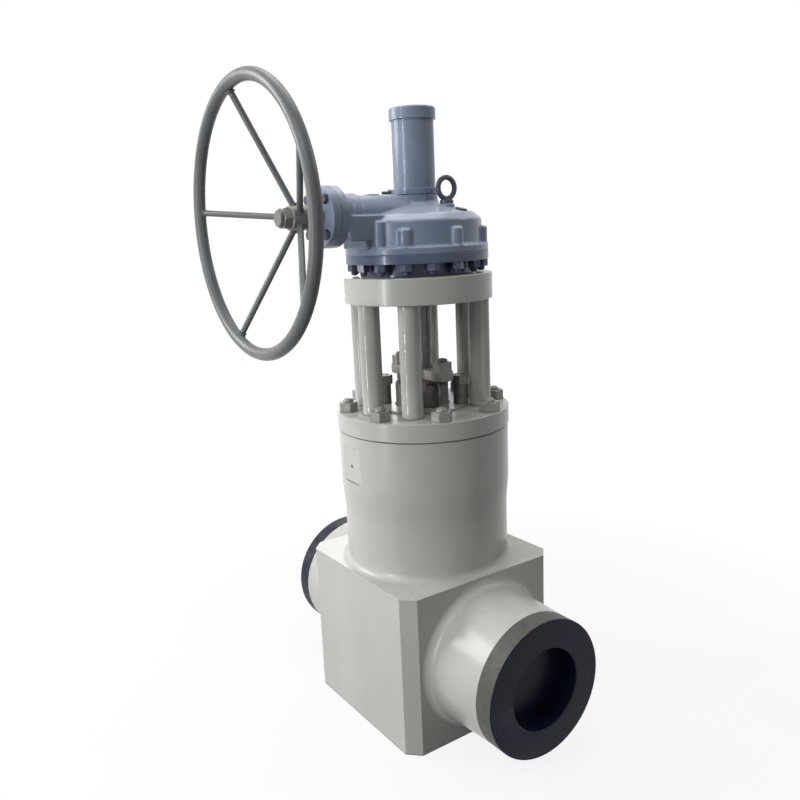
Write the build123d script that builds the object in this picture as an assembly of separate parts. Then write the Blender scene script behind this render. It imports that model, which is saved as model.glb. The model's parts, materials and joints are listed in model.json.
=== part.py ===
from build123d import *
import os
from math import acos, atan, cos, pi, radians, sin, sqrt, tan

os.makedirs("parts", exist_ok=True)

# Frame: +Z up, X along the flow, the handwheel towards -Y, origin under the middle of the
# forged block where it stands. Sizes are in millimetres.

# Forged block and its two weld stubs
block_length = 482.0
block_width = 488.0
block_height = 427.0
block_chamfer = 32.0
flow_z = 214.0
end_to_end = 914.0
bore_d = 223.0
pipe_bore_d = 225.0
pipe_bore_depth = 60.0
weld_shoulder = 10.0
pipe_d = 273.0
weld_bevel_angle = 37.5
weld_land = 3.0
stub_end_d = 352.0
stub_taper = 18.0
weld_step = 6.0
stub_root_round = 24.0

# Neck of the body
neck_height = 369.0
neck_head_height = 138.0
neck_head_step = 6.5
neck_top_inset = 2.5
neck_step_rise = 20.0
neck_root_round = 19.0
neck_bore_d = 300.0
neck_bore_depth = 326.0
groove_depth = 15.0
flat_width = 90.0
flat_height = 96.0
flat_top_drop = 32.0
flat_angle = -93.5
knock_out_hole_d = 10.0
cut_overlap = 1.0

# Cavity that the wedge moves in
cavity_thickness = 124.0
cavity_width = 274.0
cavity_floor_gap = 15.0
cavity_corner = 40.0
guide_reach = 25.0
guide_clearance = 0.3
guide_height = 540.0

# Seat rings and wedge
seat_bore_d = 221.0
seat_d = 266.0
seat_depth = 38.0
wedge_d = 250.0
wedge_mid_thickness = 92.0
wedge_angle = 5.0
wedge_groove_width = 16.0
wedge_web_d = 130.0
seat_clearance = 0.05
head_block_width = 104.0
head_block_thickness = 84.0
tee_lip = 16.0

# Stem
stem_d = 60.0
stem_top_gap = 20.0
stem_top_chamfer = 3.0
stem_lift = 240.0
tee_head_width = 84.0
tee_head_thickness = 56.0
tee_head_height = 26.0
tee_clearance = 0.3
back_seat_collar_d = 80.0
back_seat_collar_height = 10.0
back_seat_gap = 1.0

# Bonnet, held down by internal pressure, with its seal stack
bonnet_depth = 156.0
bonnet_rim_height = 28.0
bonnet_cone_rise = 16.0
bonnet_hub_d = 256.0
bonnet_hub_drop = 15.0
bonnet_neck_d = 142.0
bonnet_neck_height = 126.0
bonnet_rim_clearance = 0.4
seal_height = 22.0
seal_lip = 4.0
spacer_height = 9.0
segment_height = 26.0
segment_count = 4
segment_gap = 2.0
segment_start_angle = 45.0
back_seat_d = 88.0
back_seat_height = 22.0
box_bore_d = 90.0
box_depth = 143.0
packing_count = 6
packing_height = 16.0
packing_clearance = 0.15

# Bonnet flange on the neck, with its studs and nuts
flange_d = 462.0
flange_thickness = 48.0
flange_edge_chamfer = 2.5
flange_pad_d = 240.0
flange_pad_rise = 5.0
flange_hole_clearance = 3.0
flange_stud_count = 8
flange_stud_d = 30.0
flange_stud_inset = 29.0
flange_stud_start_angle = 22.5
flange_stud_reach = 62.0
stud_proud = 10.0

# Take-up studs that hang the bonnet from the flange
take_up_count = 4
take_up_d = 30.0
take_up_circle_d = 210.0
take_up_start_angle = 45.0
take_up_sleeve_d = 40.0
take_up_sleeve_height = 52.0
take_up_reach = 46.0

# Gland
follower_d = 89.4
follower_collar_d = 116.0
follower_collar_height = 15.0
gland_length = 240.0
gland_width = 56.0
gland_waist = 116.0
gland_end_flat = 2.0
gland_stem_gap = 1.0
gland_thickness = 25.0
gland_stud_d = 27.0
gland_stud_spread = 190.0
gland_stud_reach = 46.0
gland_nut_flats = 41.0
gland_nut_height = 24.0

# Nut of the 30 mm studs
nut_flats = 46.0
nut_height = 25.0
nut_turn_angle = 30.0
nut_crown_angle = 30.0
stud_clearance = 0.5

# Yoke: six round bars in two groups of three, and the plate on them
pillar_d = 55.0
pillar_gap = 1.5
pillar_step_angle = 45.0
spigot_d = 36.0
spigot_length = 30.0
pillar_length = 284.0
plate_rim = 9.0
plate_thickness = 66.0
plate_bore_d = 84.0
plate_edge_chamfer = 1.5

# Adaptor between the yoke plate and the gearbox
adaptor_height = 33.0
adaptor_nut_gap = 2.7
adaptor_bore_d = 150.0
sunk_screw_count = 8
sunk_screw_d = 20.0
sunk_screw_head_d = 30.0
sunk_screw_head = 12.0
sunk_screw_reach = 28.0
sunk_screw_step_angle = 22.5

# Gearbox casing
base_plate_d = 370.0
base_plate_thickness = 22.0
base_bore_d = 96.0
casing_flange_thickness = 18.0
casing_step = 16.0
casing_wall = 20.0
shoulder_rise = 80.0
dome_edge_inset = 19.0
dome_edge_rise = 97.0
dome_top_rise = 121.0
casing_neck_d = 120.0
casing_neck_top_d = 116.0
casing_neck_height = 24.0
lug_count = 8
lug_d = 34.0
lug_rise = 43.0
lug_round = 5.0
side_lug_angle = 22.5
side_lug_rise = 64.0
flange_foot_round = 5.0
shoulder_round = 12.0
dome_edge_round = 25.0
neck_foot_round = 14.0
casing_stud_count = 16
casing_stud_d = 20.0
casing_stud_inset = 19.0
casing_stud_reach = 15.0
casing_stud_proud = 6.0
casing_nut_flats = 30.0
casing_nut_height = 18.0

# Bevel gears: their axes meet on the stem axis, this far above the gearbox floor
apex_rise = 97.0
gear_module = 4.5
pinion_teeth = 16
gear_teeth = 48
tooth_length = 32.0
pressure_angle = 20.0
tooth_addendum = 0.95
tooth_dedendum = 1.25
tooth_backlash = 0.45
gear_web = 14.0
gear_hub_margin = 4.0
tooth_root_sink = 0.6
blank_margin = 1.0

# Drive sleeve that turns round the stem, and its bearings
sleeve_d = 92.0
sleeve_upper_d = 78.0
sleeve_drop = 26.0
sleeve_top_gap = 4.0
sleeve_thread_length = 84.0
sleeve_relief = 2.0
sleeve_collar_d = 136.0
sleeve_collar_height = 14.0
thrust_height = 22.0
thrust_d = 130.0
upper_thrust_d = 100.0
upper_thrust_height = 12.0
running_clearance = 0.05
bearing_bore_gap = 0.5
bush_wall = 5.0
gear_key_width = 14.0
gear_key_height = 9.0

# Input side of the gearbox
input_bore_d = 84.0
input_barrel_d = 100.0
input_barrel_end = 262.0
input_flange_d = 148.0
input_flange_thickness = 22.0
input_cover_thickness = 23.0
cover_edge_round = 4.0
cover_bore_gap = 1.0
input_bolt_count = 4
input_bolt_d = 14.0
input_bolt_flats = 22.0
input_bolt_head = 9.0
input_bolt_inset = 16.0
input_bolt_start_angle = 45.0
input_pad_length = 34.0
input_pad_width = 30.0
input_pad_rise = 2.0
shaft_d = 40.0
bearing_width = 20.0
bearing_boss_start = 116.0
input_bore_start = 66.0
barrel_collar_start = 188.0
barrel_cone_start = 215.0
barrel_ledge = 5.0
ledge_round = 3.0
flange_back_step = 4.0
seal_d = 60.0
seal_depth = 12.0

# Handwheel
rim_d = 614.0
rim_bar_d = 30.0
rim_plane = 460.0
spoke_count = 5
spoke_d = 15.0
spoke_start_angle = -13.0
hub_d = 58.0
hub_inner_end = 308.0
hub_outer_end = 364.0
spoke_root_plane = 334.0
shaft_end = 393.0
shaft_end_chamfer = 2.0
hub_edge_round = 4.0
wheel_nut_flats = 46.0
wheel_nut_height = 20.0
key_width = 10.0
key_height = 8.0
pinion_key_wall = 1.5
shaft_nose = 3.0

# Stem cover on top of the gearbox
cover_tube_d = 108.0
cover_tube_wall = 5.0
cover_height = 212.0
cover_cap_d = 119.0
cover_cap_height = 30.0
cover_cap_thickness = 8.0
cover_cap_round = 6.0
collar_d = 120.0
collar_height = 15.0
collar_gap = 1.0
lock_screw_d = 10.0
lock_screw_length = 30.0
lock_nut_flats = 16.0
lock_nut_height = 8.0
lock_screw_angle = -125.0

# Lifting eye and oil plug on the dome
eye_ring_d = 51.0
eye_bar_d = 13.0
eye_centre_rise = 38.0
eye_foot_d = 34.0
eye_foot_height = 9.0
eye_inset = 55.0
eye_angle = 21.0
eye_stem_d = 16.0
eye_stem_depth = 12.0
eye_boss_d = 40.0
eye_seat_rise = 1.5
plug_d = 30.0
plug_rise = 4.0
plug_inset = 19.0
plug_angle = 25.0

# Push-on caps over the weld ends
cap_skirt_length = 45.0
cap_face_thickness = 6.0
cap_dish_d = 208.0
cap_dish_depth = 55.0
cap_dish_wall = 3.5
cap_clearance = 0.3
cap_edge = 3.0

# Places worked out from the sizes above
low = (Align.CENTER, Align.CENTER, Align.MIN)
weld_end_d = stub_end_d - 2 * weld_step
neck_top_d = flange_d - 2 * neck_top_inset
neck_d = neck_top_d - 2 * neck_head_step
flange_stud_circle_d = flange_d - 2 * flange_stud_inset
pillar_circle_d = take_up_circle_d + nut_flats + pillar_d + 2 * pillar_gap
plate_d = pillar_circle_d + pillar_d + 2 * plate_rim
casing_d = base_plate_d - 2 * casing_step
casing_stud_circle_d = base_plate_d - 2 * casing_stud_inset
adaptor_d = casing_stud_circle_d - 2 * casing_nut_flats / sqrt(3) - 2 * adaptor_nut_gap
sunk_screw_circle_d = (adaptor_d + adaptor_bore_d) / 2
dome_edge_d = casing_d - 2 * dome_edge_inset
eye_circle_d = dome_edge_d - 2 * eye_inset
plug_circle_d = dome_edge_d - 2 * plug_inset
input_bolt_circle_d = input_flange_d - 2 * input_bolt_inset
neck_top_z = block_height + neck_height
neck_step_z = neck_top_z - neck_head_height - neck_step_rise
neck_bore_low_z = neck_top_z - neck_bore_depth
flange_top_z = neck_top_z + flange_thickness
pad_top_z = flange_top_z + flange_pad_rise
bonnet_low_z = neck_top_z - bonnet_depth
bonnet_hub_top_z = neck_top_z - bonnet_hub_drop
bonnet_top_z = bonnet_hub_top_z + bonnet_neck_height
bonnet_cone_low_z = bonnet_low_z + bonnet_rim_height
seal_low_z = bonnet_cone_low_z
spacer_low_z = seal_low_z + seal_height
segment_low_z = spacer_low_z + spacer_height
segment_top_z = segment_low_z + segment_height
bonnet_rim_d = neck_bore_d - 2 * bonnet_rim_clearance
box_floor_z = bonnet_top_z - box_depth
follower_low_z = box_floor_z + packing_count * packing_height
gland_low_z = bonnet_top_z + follower_collar_height
gland_top_z = gland_low_z + gland_thickness
plate_low_z = flange_top_z + pillar_length
plate_top_z = plate_low_z + plate_thickness
adaptor_top_z = plate_top_z + adaptor_height
casing_low_z = adaptor_top_z + base_plate_thickness
casing_flange_top_z = casing_low_z + casing_flange_thickness
shoulder_z = casing_low_z + shoulder_rise
dome_edge_z = casing_low_z + dome_edge_rise
dome_top_z = casing_low_z + dome_top_rise
casing_top_z = dome_top_z + casing_neck_height
apex_z = casing_low_z + apex_rise
cover_top_z = casing_top_z + cover_height
stem_top_z = cover_top_z - cover_cap_thickness - stem_top_gap - stem_lift
back_seat_collar_top_z = bonnet_low_z - back_seat_gap - stem_lift
back_seat_collar_low_z = back_seat_collar_top_z - back_seat_collar_height
head_block_top_z = back_seat_collar_low_z - back_seat_gap
tee_head_top_z = head_block_top_z - tee_lip
tee_head_low_z = tee_head_top_z - tee_head_height
cavity_floor_z = flow_z - wedge_d / 2 - cavity_floor_gap
weld_face_x = end_to_end / 2
stub_end_x = weld_face_x - cap_skirt_length
pillar_angles = [side + k * pillar_step_angle for side in (90, 270) for k in (-1, 0, 1)]
pinion_pitch_r = gear_module * pinion_teeth / 2
gear_pitch_r = gear_module * gear_teeth / 2
outer_cone = sqrt(pinion_pitch_r**2 + gear_pitch_r**2)


def turned(points, rounds=()):
    """A solid of revolution about Z from (radius, height) points, with rounded corners."""
    face = make_face(Plane.XZ * Polyline(*points, close=True))
    for (r, z), radius in rounds:
        face = fillet(face.vertices().sort_by_distance((r, 0, z))[0], radius)
    return revolve(face, Axis.Z)


def tube(outer_d, inner_d, z_low, z_high):
    """A plain ring about Z."""
    outer = Cylinder(outer_d / 2, z_high - z_low, align=low)
    return Pos(0, 0, z_low) * (outer - Cylinder(inner_d / 2, z_high - z_low, align=low))


def rod(diameter, z_low, z_high):
    """A plain bar along Z."""
    return Pos(0, 0, z_low) * Cylinder(diameter / 2, z_high - z_low, align=low)


def hexagon(flats, height):
    """A hexagonal prism on Z = 0 with its upper corners turned off."""
    blank = extrude(RegularPolygon(flats / 2, 6, major_radius=False), height)
    corner_r = flats / sqrt(3)
    fall = (corner_r - flats / 2) * tan(radians(nut_crown_angle))
    crown = turned([(0, 0), (corner_r, 0), (corner_r, height - fall), (flats / 2, height), (0, height)])
    return blank & crown


def hex_nut(flats, height, hole_d):
    return hexagon(flats, height) - rod(hole_d, 0, height)


def on_circle(piece, diameter, count, start=0.0):
    """The same piece repeated round Z."""
    spread = PolarLocations(diameter / 2, count, start_angle=start)
    return [place * piece for place in spread]


def along_x(piece):
    """Turns a piece built on +Z so that it points along +X, on the flow axis."""
    return Pos(0, 0, flow_z) * Rot(0, 90, 0) * piece


def outward(piece):
    """Turns a piece built on +Z so that it points along -Y, on the input axis."""
    return Pos(0, 0, apex_z) * Rot(90, 0, 0) * piece


def both_ends(piece):
    """A piece at the +X end and its mirror image at the -X end."""
    return [piece, mirror(piece, Plane.YZ)]


def group(pieces):
    return Compound([solid for piece in pieces for solid in piece.solids()])


# Forged body
def stub():
    half = block_length / 2
    r_end, r_weld = stub_end_d / 2, weld_end_d / 2
    r_root = r_end + stub_taper / 2
    r_land = pipe_bore_d / 2 + weld_land
    bevel_length = (pipe_d / 2 - r_land) * tan(radians(weld_bevel_angle))
    outline = [
        (0, 0),
        (r_root + stub_root_round, 0),
        (r_root + stub_root_round, half),
        (r_root, half),
        (r_end, stub_end_x),
        (r_weld, stub_end_x),
        (r_weld, stub_end_x + weld_shoulder),
        (pipe_d / 2, weld_face_x - bevel_length),
        (r_land, weld_face_x),
        (0, weld_face_x),
    ]
    slab = Box(2 * end_to_end, block_width, block_height, align=low)
    return along_x(turned(outline, [((r_root, half), stub_root_round)])) & slab


def neck():
    r_low, r_top = neck_d / 2, neck_top_d / 2
    r_foot = r_low + neck_root_round
    outline = [
        (0, block_height - block_chamfer),
        (r_foot, block_height - block_chamfer),
        (r_foot, block_height),
        (r_low, block_height),
        (r_low, neck_step_z),
        (r_top, neck_step_z + neck_step_rise),
        (r_top, neck_top_z - flange_edge_chamfer),
        (r_top - flange_edge_chamfer, neck_top_z),
        (0, neck_top_z),
    ]
    form = turned(outline, [((r_low, block_height), neck_root_round)])
    within_block = Pos(0, 0, block_height - block_chamfer) * block_footprint(neck_top_z)
    return form & within_block


def block_footprint(height):
    outline = chamfer(Rectangle(block_length, block_width).vertices(), block_chamfer)
    return extrude(outline, height)


def seat_pocket():
    return along_x(rod(seat_d, 0, cavity_thickness / 2 + seat_depth))


def valve_body():
    body = block_footprint(block_height) + neck()
    for side in both_ends(stub()):
        body += side
    cavity_plan = RectangleRounded(cavity_thickness, cavity_width, cavity_corner)
    body -= Pos(0, 0, cavity_floor_z) * extrude(cavity_plan, neck_bore_low_z - cavity_floor_z)
    body -= rod(neck_bore_d, neck_bore_low_z, neck_top_z)
    body -= tube(neck_bore_d + 2 * groove_depth, neck_bore_d - cut_overlap, segment_low_z, segment_top_z)
    for side in both_ends(seat_pocket()):
        body -= side
    for side in both_ends(along_x(rod(bore_d, 0, weld_face_x))):
        body -= side
    for side in both_ends(along_x(rod(pipe_bore_d, weld_face_x - pipe_bore_depth, weld_face_x))):
        body -= side
    flat_depth = neck_top_d / 2 - sqrt((neck_top_d / 2) ** 2 - (flat_width / 2) ** 2)
    flat_low_z = neck_top_z - flat_top_drop - flat_height
    flat_cut = Pos(neck_top_d / 2, 0, flat_low_z) * Box(2 * flat_depth, flat_width, flat_height, align=low)
    body -= Rot(0, 0, flat_angle) * flat_cut
    hole_z = (segment_low_z + segment_top_z) / 2
    hole = Rot(0, 90, 0) * rod(knock_out_hole_d, neck_bore_d / 2, neck_top_d / 2)
    body -= Pos(0, 0, hole_z) * Rot(0, 0, flat_angle) * hole
    stud_hole = rod(flange_stud_d, neck_top_z - flange_stud_reach, neck_top_z)
    for hole in on_circle(stud_hole, flange_stud_circle_d, flange_stud_count, flange_stud_start_angle):
        body -= hole
    for rail in guide_rails():
        body += rail
    return body


def guide_rails():
    """Two upright rails in the cavity, which run in the groove round the wedge."""
    width = wedge_groove_width - 2 * guide_clearance
    inner_y = cavity_width / 2 - guide_reach
    length = neck_bore_d / 2 - inner_y
    rail = Pos(0, inner_y, cavity_floor_z) * Box(width, length, guide_height,
                                                 align=(Align.CENTER, Align.MIN, Align.MIN))
    rail = rail & rod(neck_bore_d + 2 * cut_overlap, cavity_floor_z, cavity_floor_z + guide_height)
    return [rail, mirror(rail, Plane.XZ)]


# Seats and wedge
def slope_cut(mid_thickness):
    """The wedge-shaped space between two seat faces, wider at the top."""
    reach = block_height
    half_low = mid_thickness / 2 - reach * tan(radians(wedge_angle))
    half_high = mid_thickness / 2 + reach * tan(radians(wedge_angle))
    outline = [(-half_low, -reach), (half_low, -reach), (half_high, reach), (-half_high, reach)]
    face = make_face(Plane.XZ * Polyline(*outline, close=True))
    return Pos(0, 0, flow_z) * extrude(face, block_width / 2, both=True)


def seat_ring():
    ring = along_x(tube(seat_d, seat_bore_d, 0, cavity_thickness / 2 + seat_depth))
    return ring - slope_cut(wedge_mid_thickness + 2 * seat_clearance)


def wedge():
    disc = along_x(rod(wedge_d, -block_length / 4, block_length / 4))
    half_groove = wedge_groove_width / 2
    groove = along_x(tube(wedge_d + 2 * cut_overlap, wedge_web_d, -half_groove, half_groove))
    form = disc & slope_cut(wedge_mid_thickness)
    form -= groove
    head_height = head_block_top_z - flow_z
    head = Pos(0, 0, flow_z) * Box(head_block_thickness, head_block_width, head_height, align=low)
    form += head & slope_cut(wedge_mid_thickness)
    slot_width = tee_head_width + 2 * tee_clearance
    slot_height = tee_head_height + 2 * tee_clearance
    slot_low_z = tee_head_low_z - tee_clearance
    form -= Pos(0, 0, slot_low_z) * Box(block_length, slot_width, slot_height, align=low)
    neck_slot_width = stem_d + 2 * tee_clearance
    form -= Pos(0, 0, tee_head_low_z) * Box(block_length, neck_slot_width, block_height, align=low)
    return form


def stem():
    head = Pos(0, 0, tee_head_low_z) * Box(tee_head_thickness, tee_head_width, tee_head_height, align=low)
    collar_top_z, collar_low_z = back_seat_collar_top_z, back_seat_collar_low_z
    r, r_collar = stem_d / 2, back_seat_collar_d / 2
    outline = [
        (0, tee_head_low_z + tee_head_height / 2),
        (r, tee_head_low_z + tee_head_height / 2),
        (r, collar_low_z),
        (r_collar, collar_low_z),
        (r_collar, collar_top_z - (r_collar - r) / 2),
        (r, collar_top_z),
        (r, stem_top_z - stem_top_chamfer),
        (r - stem_top_chamfer, stem_top_z),
        (0, stem_top_z),
    ]
    return head + turned(outline)


# Bonnet and the ring stack that seals it
def bonnet():
    r_rim, r_hub, r_neck = bonnet_rim_d / 2, bonnet_hub_d / 2, bonnet_neck_d / 2
    hole_r = stem_d / 2 + stud_clearance
    outline = [
        (hole_r, bonnet_low_z),
        (r_rim, bonnet_low_z),
        (r_rim, bonnet_cone_low_z),
        (r_hub, bonnet_cone_low_z + bonnet_cone_rise),
        (r_hub, bonnet_hub_top_z),
        (r_neck, bonnet_hub_top_z),
        (r_neck, bonnet_top_z),
        (hole_r, bonnet_top_z),
    ]
    form = turned(outline)
    form -= rod(back_seat_d, bonnet_low_z, bonnet_low_z + back_seat_height)
    form -= rod(box_bore_d, box_floor_z, bonnet_top_z)
    take_up = rod(take_up_d, bonnet_hub_top_z - take_up_reach, bonnet_hub_top_z)
    for hole in on_circle(take_up, take_up_circle_d, take_up_count, take_up_start_angle):
        form -= hole
    gland_hole = rod(gland_stud_d, bonnet_hub_top_z - gland_stud_reach, bonnet_hub_top_z)
    for hole in on_circle(gland_hole, gland_stud_spread, 2):
        form -= hole
    return form


def back_seat_bush():
    return tube(back_seat_d, stem_d + 2 * running_clearance, bonnet_low_z, bonnet_low_z + back_seat_height)


def seal_ring():
    """The soft iron ring whose cone the bonnet presses out against the neck."""
    r_out = neck_bore_d / 2
    r_hub = bonnet_hub_d / 2
    r_rim = bonnet_rim_d / 2
    outline = [
        (r_rim - seal_lip, bonnet_cone_low_z + seal_lip * bonnet_cone_rise / (r_rim - r_hub)),
        (r_out, bonnet_cone_low_z + seal_lip * bonnet_cone_rise / (r_rim - r_hub)),
        (r_out, spacer_low_z),
        (r_hub, spacer_low_z),
        (r_hub, bonnet_cone_low_z + bonnet_cone_rise),
    ]
    return turned(outline)


def spacer_ring():
    return tube(neck_bore_d, bonnet_hub_d, spacer_low_z, segment_low_z)


def segment_ring():
    """Four pieces that snap out into the groove of the neck and take the thrust."""
    ring = tube(neck_bore_d + 2 * groove_depth, bonnet_hub_d, segment_low_z, segment_top_z)
    for k in range(segment_count):
        slit = Pos(0, 0, segment_low_z) * Box(neck_top_d, segment_gap, segment_height,
                                              align=(Align.MIN, Align.CENTER, Align.MIN))
        ring -= Rot(0, 0, segment_start_angle + k * 360 / segment_count) * slit
    return ring


def packing_ring(index):
    low_z = box_floor_z + index * packing_height
    return tube(box_bore_d, stem_d + 2 * packing_clearance, low_z, low_z + packing_height)


# Bonnet flange and what is bolted through it
def bonnet_flange():
    r, c = flange_d / 2, flange_edge_chamfer
    r_hole = bonnet_neck_d / 2 + flange_hole_clearance
    r_pad = flange_pad_d / 2
    outline = [
        (r_hole, neck_top_z),
        (r - c, neck_top_z),
        (r, neck_top_z + c),
        (r, flange_top_z - c / 2),
        (r - c / 2, flange_top_z),
        (r_pad, flange_top_z),
        (r_pad, pad_top_z),
        (r_hole, pad_top_z),
    ]
    form = turned(outline)
    holes = on_circle(rod(flange_stud_d + 2 * stud_clearance, neck_top_z, flange_top_z),
                      flange_stud_circle_d, flange_stud_count, flange_stud_start_angle)
    holes += on_circle(rod(take_up_d + 2 * stud_clearance, neck_top_z, pad_top_z),
                       take_up_circle_d, take_up_count, take_up_start_angle)
    holes += on_circle(rod(gland_stud_d + 2 * stud_clearance, neck_top_z, pad_top_z),
                       gland_stud_spread, 2)
    spigot_hole = rod(spigot_d, flange_top_z - spigot_length, flange_top_z)
    holes += [Rot(0, 0, a) * Pos(pillar_circle_d / 2, 0, 0) * spigot_hole for a in pillar_angles]
    for hole in holes:
        form -= hole
    return form


def flange_studs():
    top_z = flange_top_z + nut_height + stud_proud
    stud = rod(flange_stud_d, neck_top_z - flange_stud_reach, top_z)
    return group(on_circle(stud, flange_stud_circle_d, flange_stud_count, flange_stud_start_angle))


def flange_nuts():
    nut = Pos(0, 0, flange_top_z) * Rot(0, 0, nut_turn_angle) * hex_nut(nut_flats, nut_height, flange_stud_d)
    return group(on_circle(nut, flange_stud_circle_d, flange_stud_count, flange_stud_start_angle))


def take_up_studs():
    top_z = pad_top_z + take_up_sleeve_height + nut_height
    stud = rod(take_up_d, bonnet_hub_top_z - take_up_reach, top_z)
    return group(on_circle(stud, take_up_circle_d, take_up_count, take_up_start_angle))


def take_up_sleeves():
    sleeve = tube(take_up_sleeve_d, take_up_d, pad_top_z, pad_top_z + take_up_sleeve_height)
    return group(on_circle(sleeve, take_up_circle_d, take_up_count, take_up_start_angle))


def take_up_nuts():
    nut = Rot(0, 0, nut_turn_angle) * hex_nut(nut_flats, nut_height, take_up_d)
    nut = Pos(0, 0, pad_top_z + take_up_sleeve_height) * nut
    return group(on_circle(nut, take_up_circle_d, take_up_count, take_up_start_angle))


# Gland
def gland_follower():
    r_bore = stem_d / 2 + packing_clearance
    outline = [
        (r_bore, follower_low_z),
        (follower_d / 2, follower_low_z),
        (follower_d / 2, bonnet_top_z),
        (follower_collar_d / 2, bonnet_top_z),
        (follower_collar_d / 2, gland_low_z),
        (r_bore, gland_low_z),
    ]
    return turned(outline)


def gland_flange():
    bar = RectangleRounded(gland_length, gland_width, gland_width / 2 - gland_end_flat / 2)
    plan = bar + Circle(gland_waist / 2) - Circle(stem_d / 2 + gland_stem_gap)
    form = Pos(0, 0, gland_low_z) * extrude(plan, gland_thickness)
    hole = rod(gland_stud_d + 2 * stud_clearance, gland_low_z, gland_top_z)
    for one in on_circle(hole, gland_stud_spread, 2):
        form -= one
    return form


def gland_studs():
    top_z = gland_top_z + gland_nut_height + stud_proud
    stud = rod(gland_stud_d, bonnet_hub_top_z - gland_stud_reach, top_z)
    return group(on_circle(stud, gland_stud_spread, 2))


def gland_nuts():
    nut = Pos(0, 0, gland_top_z) * hex_nut(gland_nut_flats, gland_nut_height, gland_stud_d)
    return group(on_circle(nut, gland_stud_spread, 2))


# Yoke
def yoke_pillar(angle):
    r, r_spigot = pillar_d / 2, spigot_d / 2
    outline = [
        (0, flange_top_z - spigot_length),
        (r_spigot, flange_top_z - spigot_length),
        (r_spigot, flange_top_z),
        (r, flange_top_z),
        (r, plate_low_z),
        (r_spigot, plate_low_z),
        (r_spigot, plate_low_z + spigot_length),
        (0, plate_low_z + spigot_length),
    ]
    return Rot(0, 0, angle) * Pos(pillar_circle_d / 2, 0, 0) * turned(outline)


def yoke_plate():
    form = tube(plate_d, plate_bore_d, plate_low_z, plate_top_z)
    form = chamfer(form.edges().filter_by(GeomType.CIRCLE).sort_by(SortBy.RADIUS)[-2:], plate_edge_chamfer)
    spigot_hole = rod(spigot_d, plate_low_z, plate_low_z + spigot_length)
    holes = [Rot(0, 0, a) * Pos(pillar_circle_d / 2, 0, 0) * spigot_hole for a in pillar_angles]
    holes += sunk_screws_at(rod(sunk_screw_d, plate_top_z - sunk_screw_reach, plate_top_z))
    for hole in holes:
        form -= hole
    return form


# Adaptor
def sunk_screws_at(piece, step=0.0):
    return on_circle(piece, sunk_screw_circle_d, sunk_screw_count, step)


def sunk_screw(face_z, grip):
    """A socket head screw that points down, its head sunk below the face that it enters."""
    shank = rod(sunk_screw_d, face_z - grip - sunk_screw_reach, face_z)
    return shank + rod(sunk_screw_head_d, face_z - sunk_screw_head, face_z)


def gearbox_adaptor():
    form = tube(adaptor_d, adaptor_bore_d, plate_top_z, adaptor_top_z)
    for one in sunk_screws_at(sunk_screw(adaptor_top_z, adaptor_height)):
        form -= one
    hole = rod(sunk_screw_d, adaptor_top_z - sunk_screw_reach, adaptor_top_z)
    for one in sunk_screws_at(hole, sunk_screw_step_angle):
        form -= one
    return form


# Gearbox casing
def gearbox_base():
    form = tube(base_plate_d, base_bore_d, adaptor_top_z, casing_low_z)
    for one in sunk_screws_at(sunk_screw(casing_low_z, base_plate_thickness), sunk_screw_step_angle):
        form -= one
    hole = rod(casing_stud_d, adaptor_top_z, casing_low_z)
    for one in on_circle(hole, casing_stud_circle_d, casing_stud_count):
        form -= one
    return form


def sunk_screws():
    """One ring holds the adaptor to the yoke plate, the other the base to the adaptor."""
    lower = sunk_screws_at(sunk_screw(adaptor_top_z, adaptor_height))
    upper = sunk_screws_at(sunk_screw(casing_low_z, base_plate_thickness), sunk_screw_step_angle)
    return group(lower + upper)


def lug_angles():
    """The lugs stand all round the casing but for the side of the pinion housing."""
    step = 360 / lug_count
    return [k * step for k in range(lug_count) if k * step != 270]


def dome_height(radius):
    """Height of the sloping top of the casing at a radius."""
    run = dome_edge_d / 2 - casing_neck_d / 2
    return dome_edge_z + (dome_top_z - dome_edge_z) * (dome_edge_d / 2 - radius) / run


def eye_place():
    turn = radians(eye_angle)
    return Pos(eye_circle_d / 2 * cos(turn), eye_circle_d / 2 * sin(turn), 0)


def eye_seat_z():
    return dome_height(eye_circle_d / 2 - eye_boss_d / 2) + eye_seat_rise


def casing_outside():
    r, r_neck, r_top = casing_d / 2, casing_neck_d / 2, casing_neck_top_d / 2
    outline = [
        (0, casing_low_z),
        (base_plate_d / 2, casing_low_z),
        (base_plate_d / 2, casing_flange_top_z),
        (r, casing_flange_top_z),
        (r, shoulder_z),
        (dome_edge_d / 2, dome_edge_z),
        (r_neck, dome_top_z),
        (r_top, casing_top_z),
        (0, casing_top_z),
    ]
    rounds = [
        ((r, casing_flange_top_z), flange_foot_round),
        ((r, shoulder_z), shoulder_round),
        ((dome_edge_d / 2, dome_edge_z), dome_edge_round),
        ((r_neck, dome_top_z), neck_foot_round),
    ]
    form = turned(outline, rounds)
    for angle in lug_angles():
        form += casing_lug(angle, lug_rise)
    for angle in (270 - side_lug_angle, 270 + side_lug_angle):
        form += casing_lug(angle, side_lug_rise)
    return form + eye_place() * rod(eye_boss_d, shoulder_z, eye_seat_z())


def casing_lug(angle, rise):
    """A rounded boss on the side of the casing, over one of its studs."""
    lug = rod(lug_d, casing_low_z, casing_flange_top_z + rise)
    lug = fillet(lug.edges().filter_by(GeomType.CIRCLE).sort_by(Axis.Z)[-1], lug_round)
    return Rot(0, 0, angle) * Pos(casing_stud_circle_d / 2, 0, 0) * lug


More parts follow.
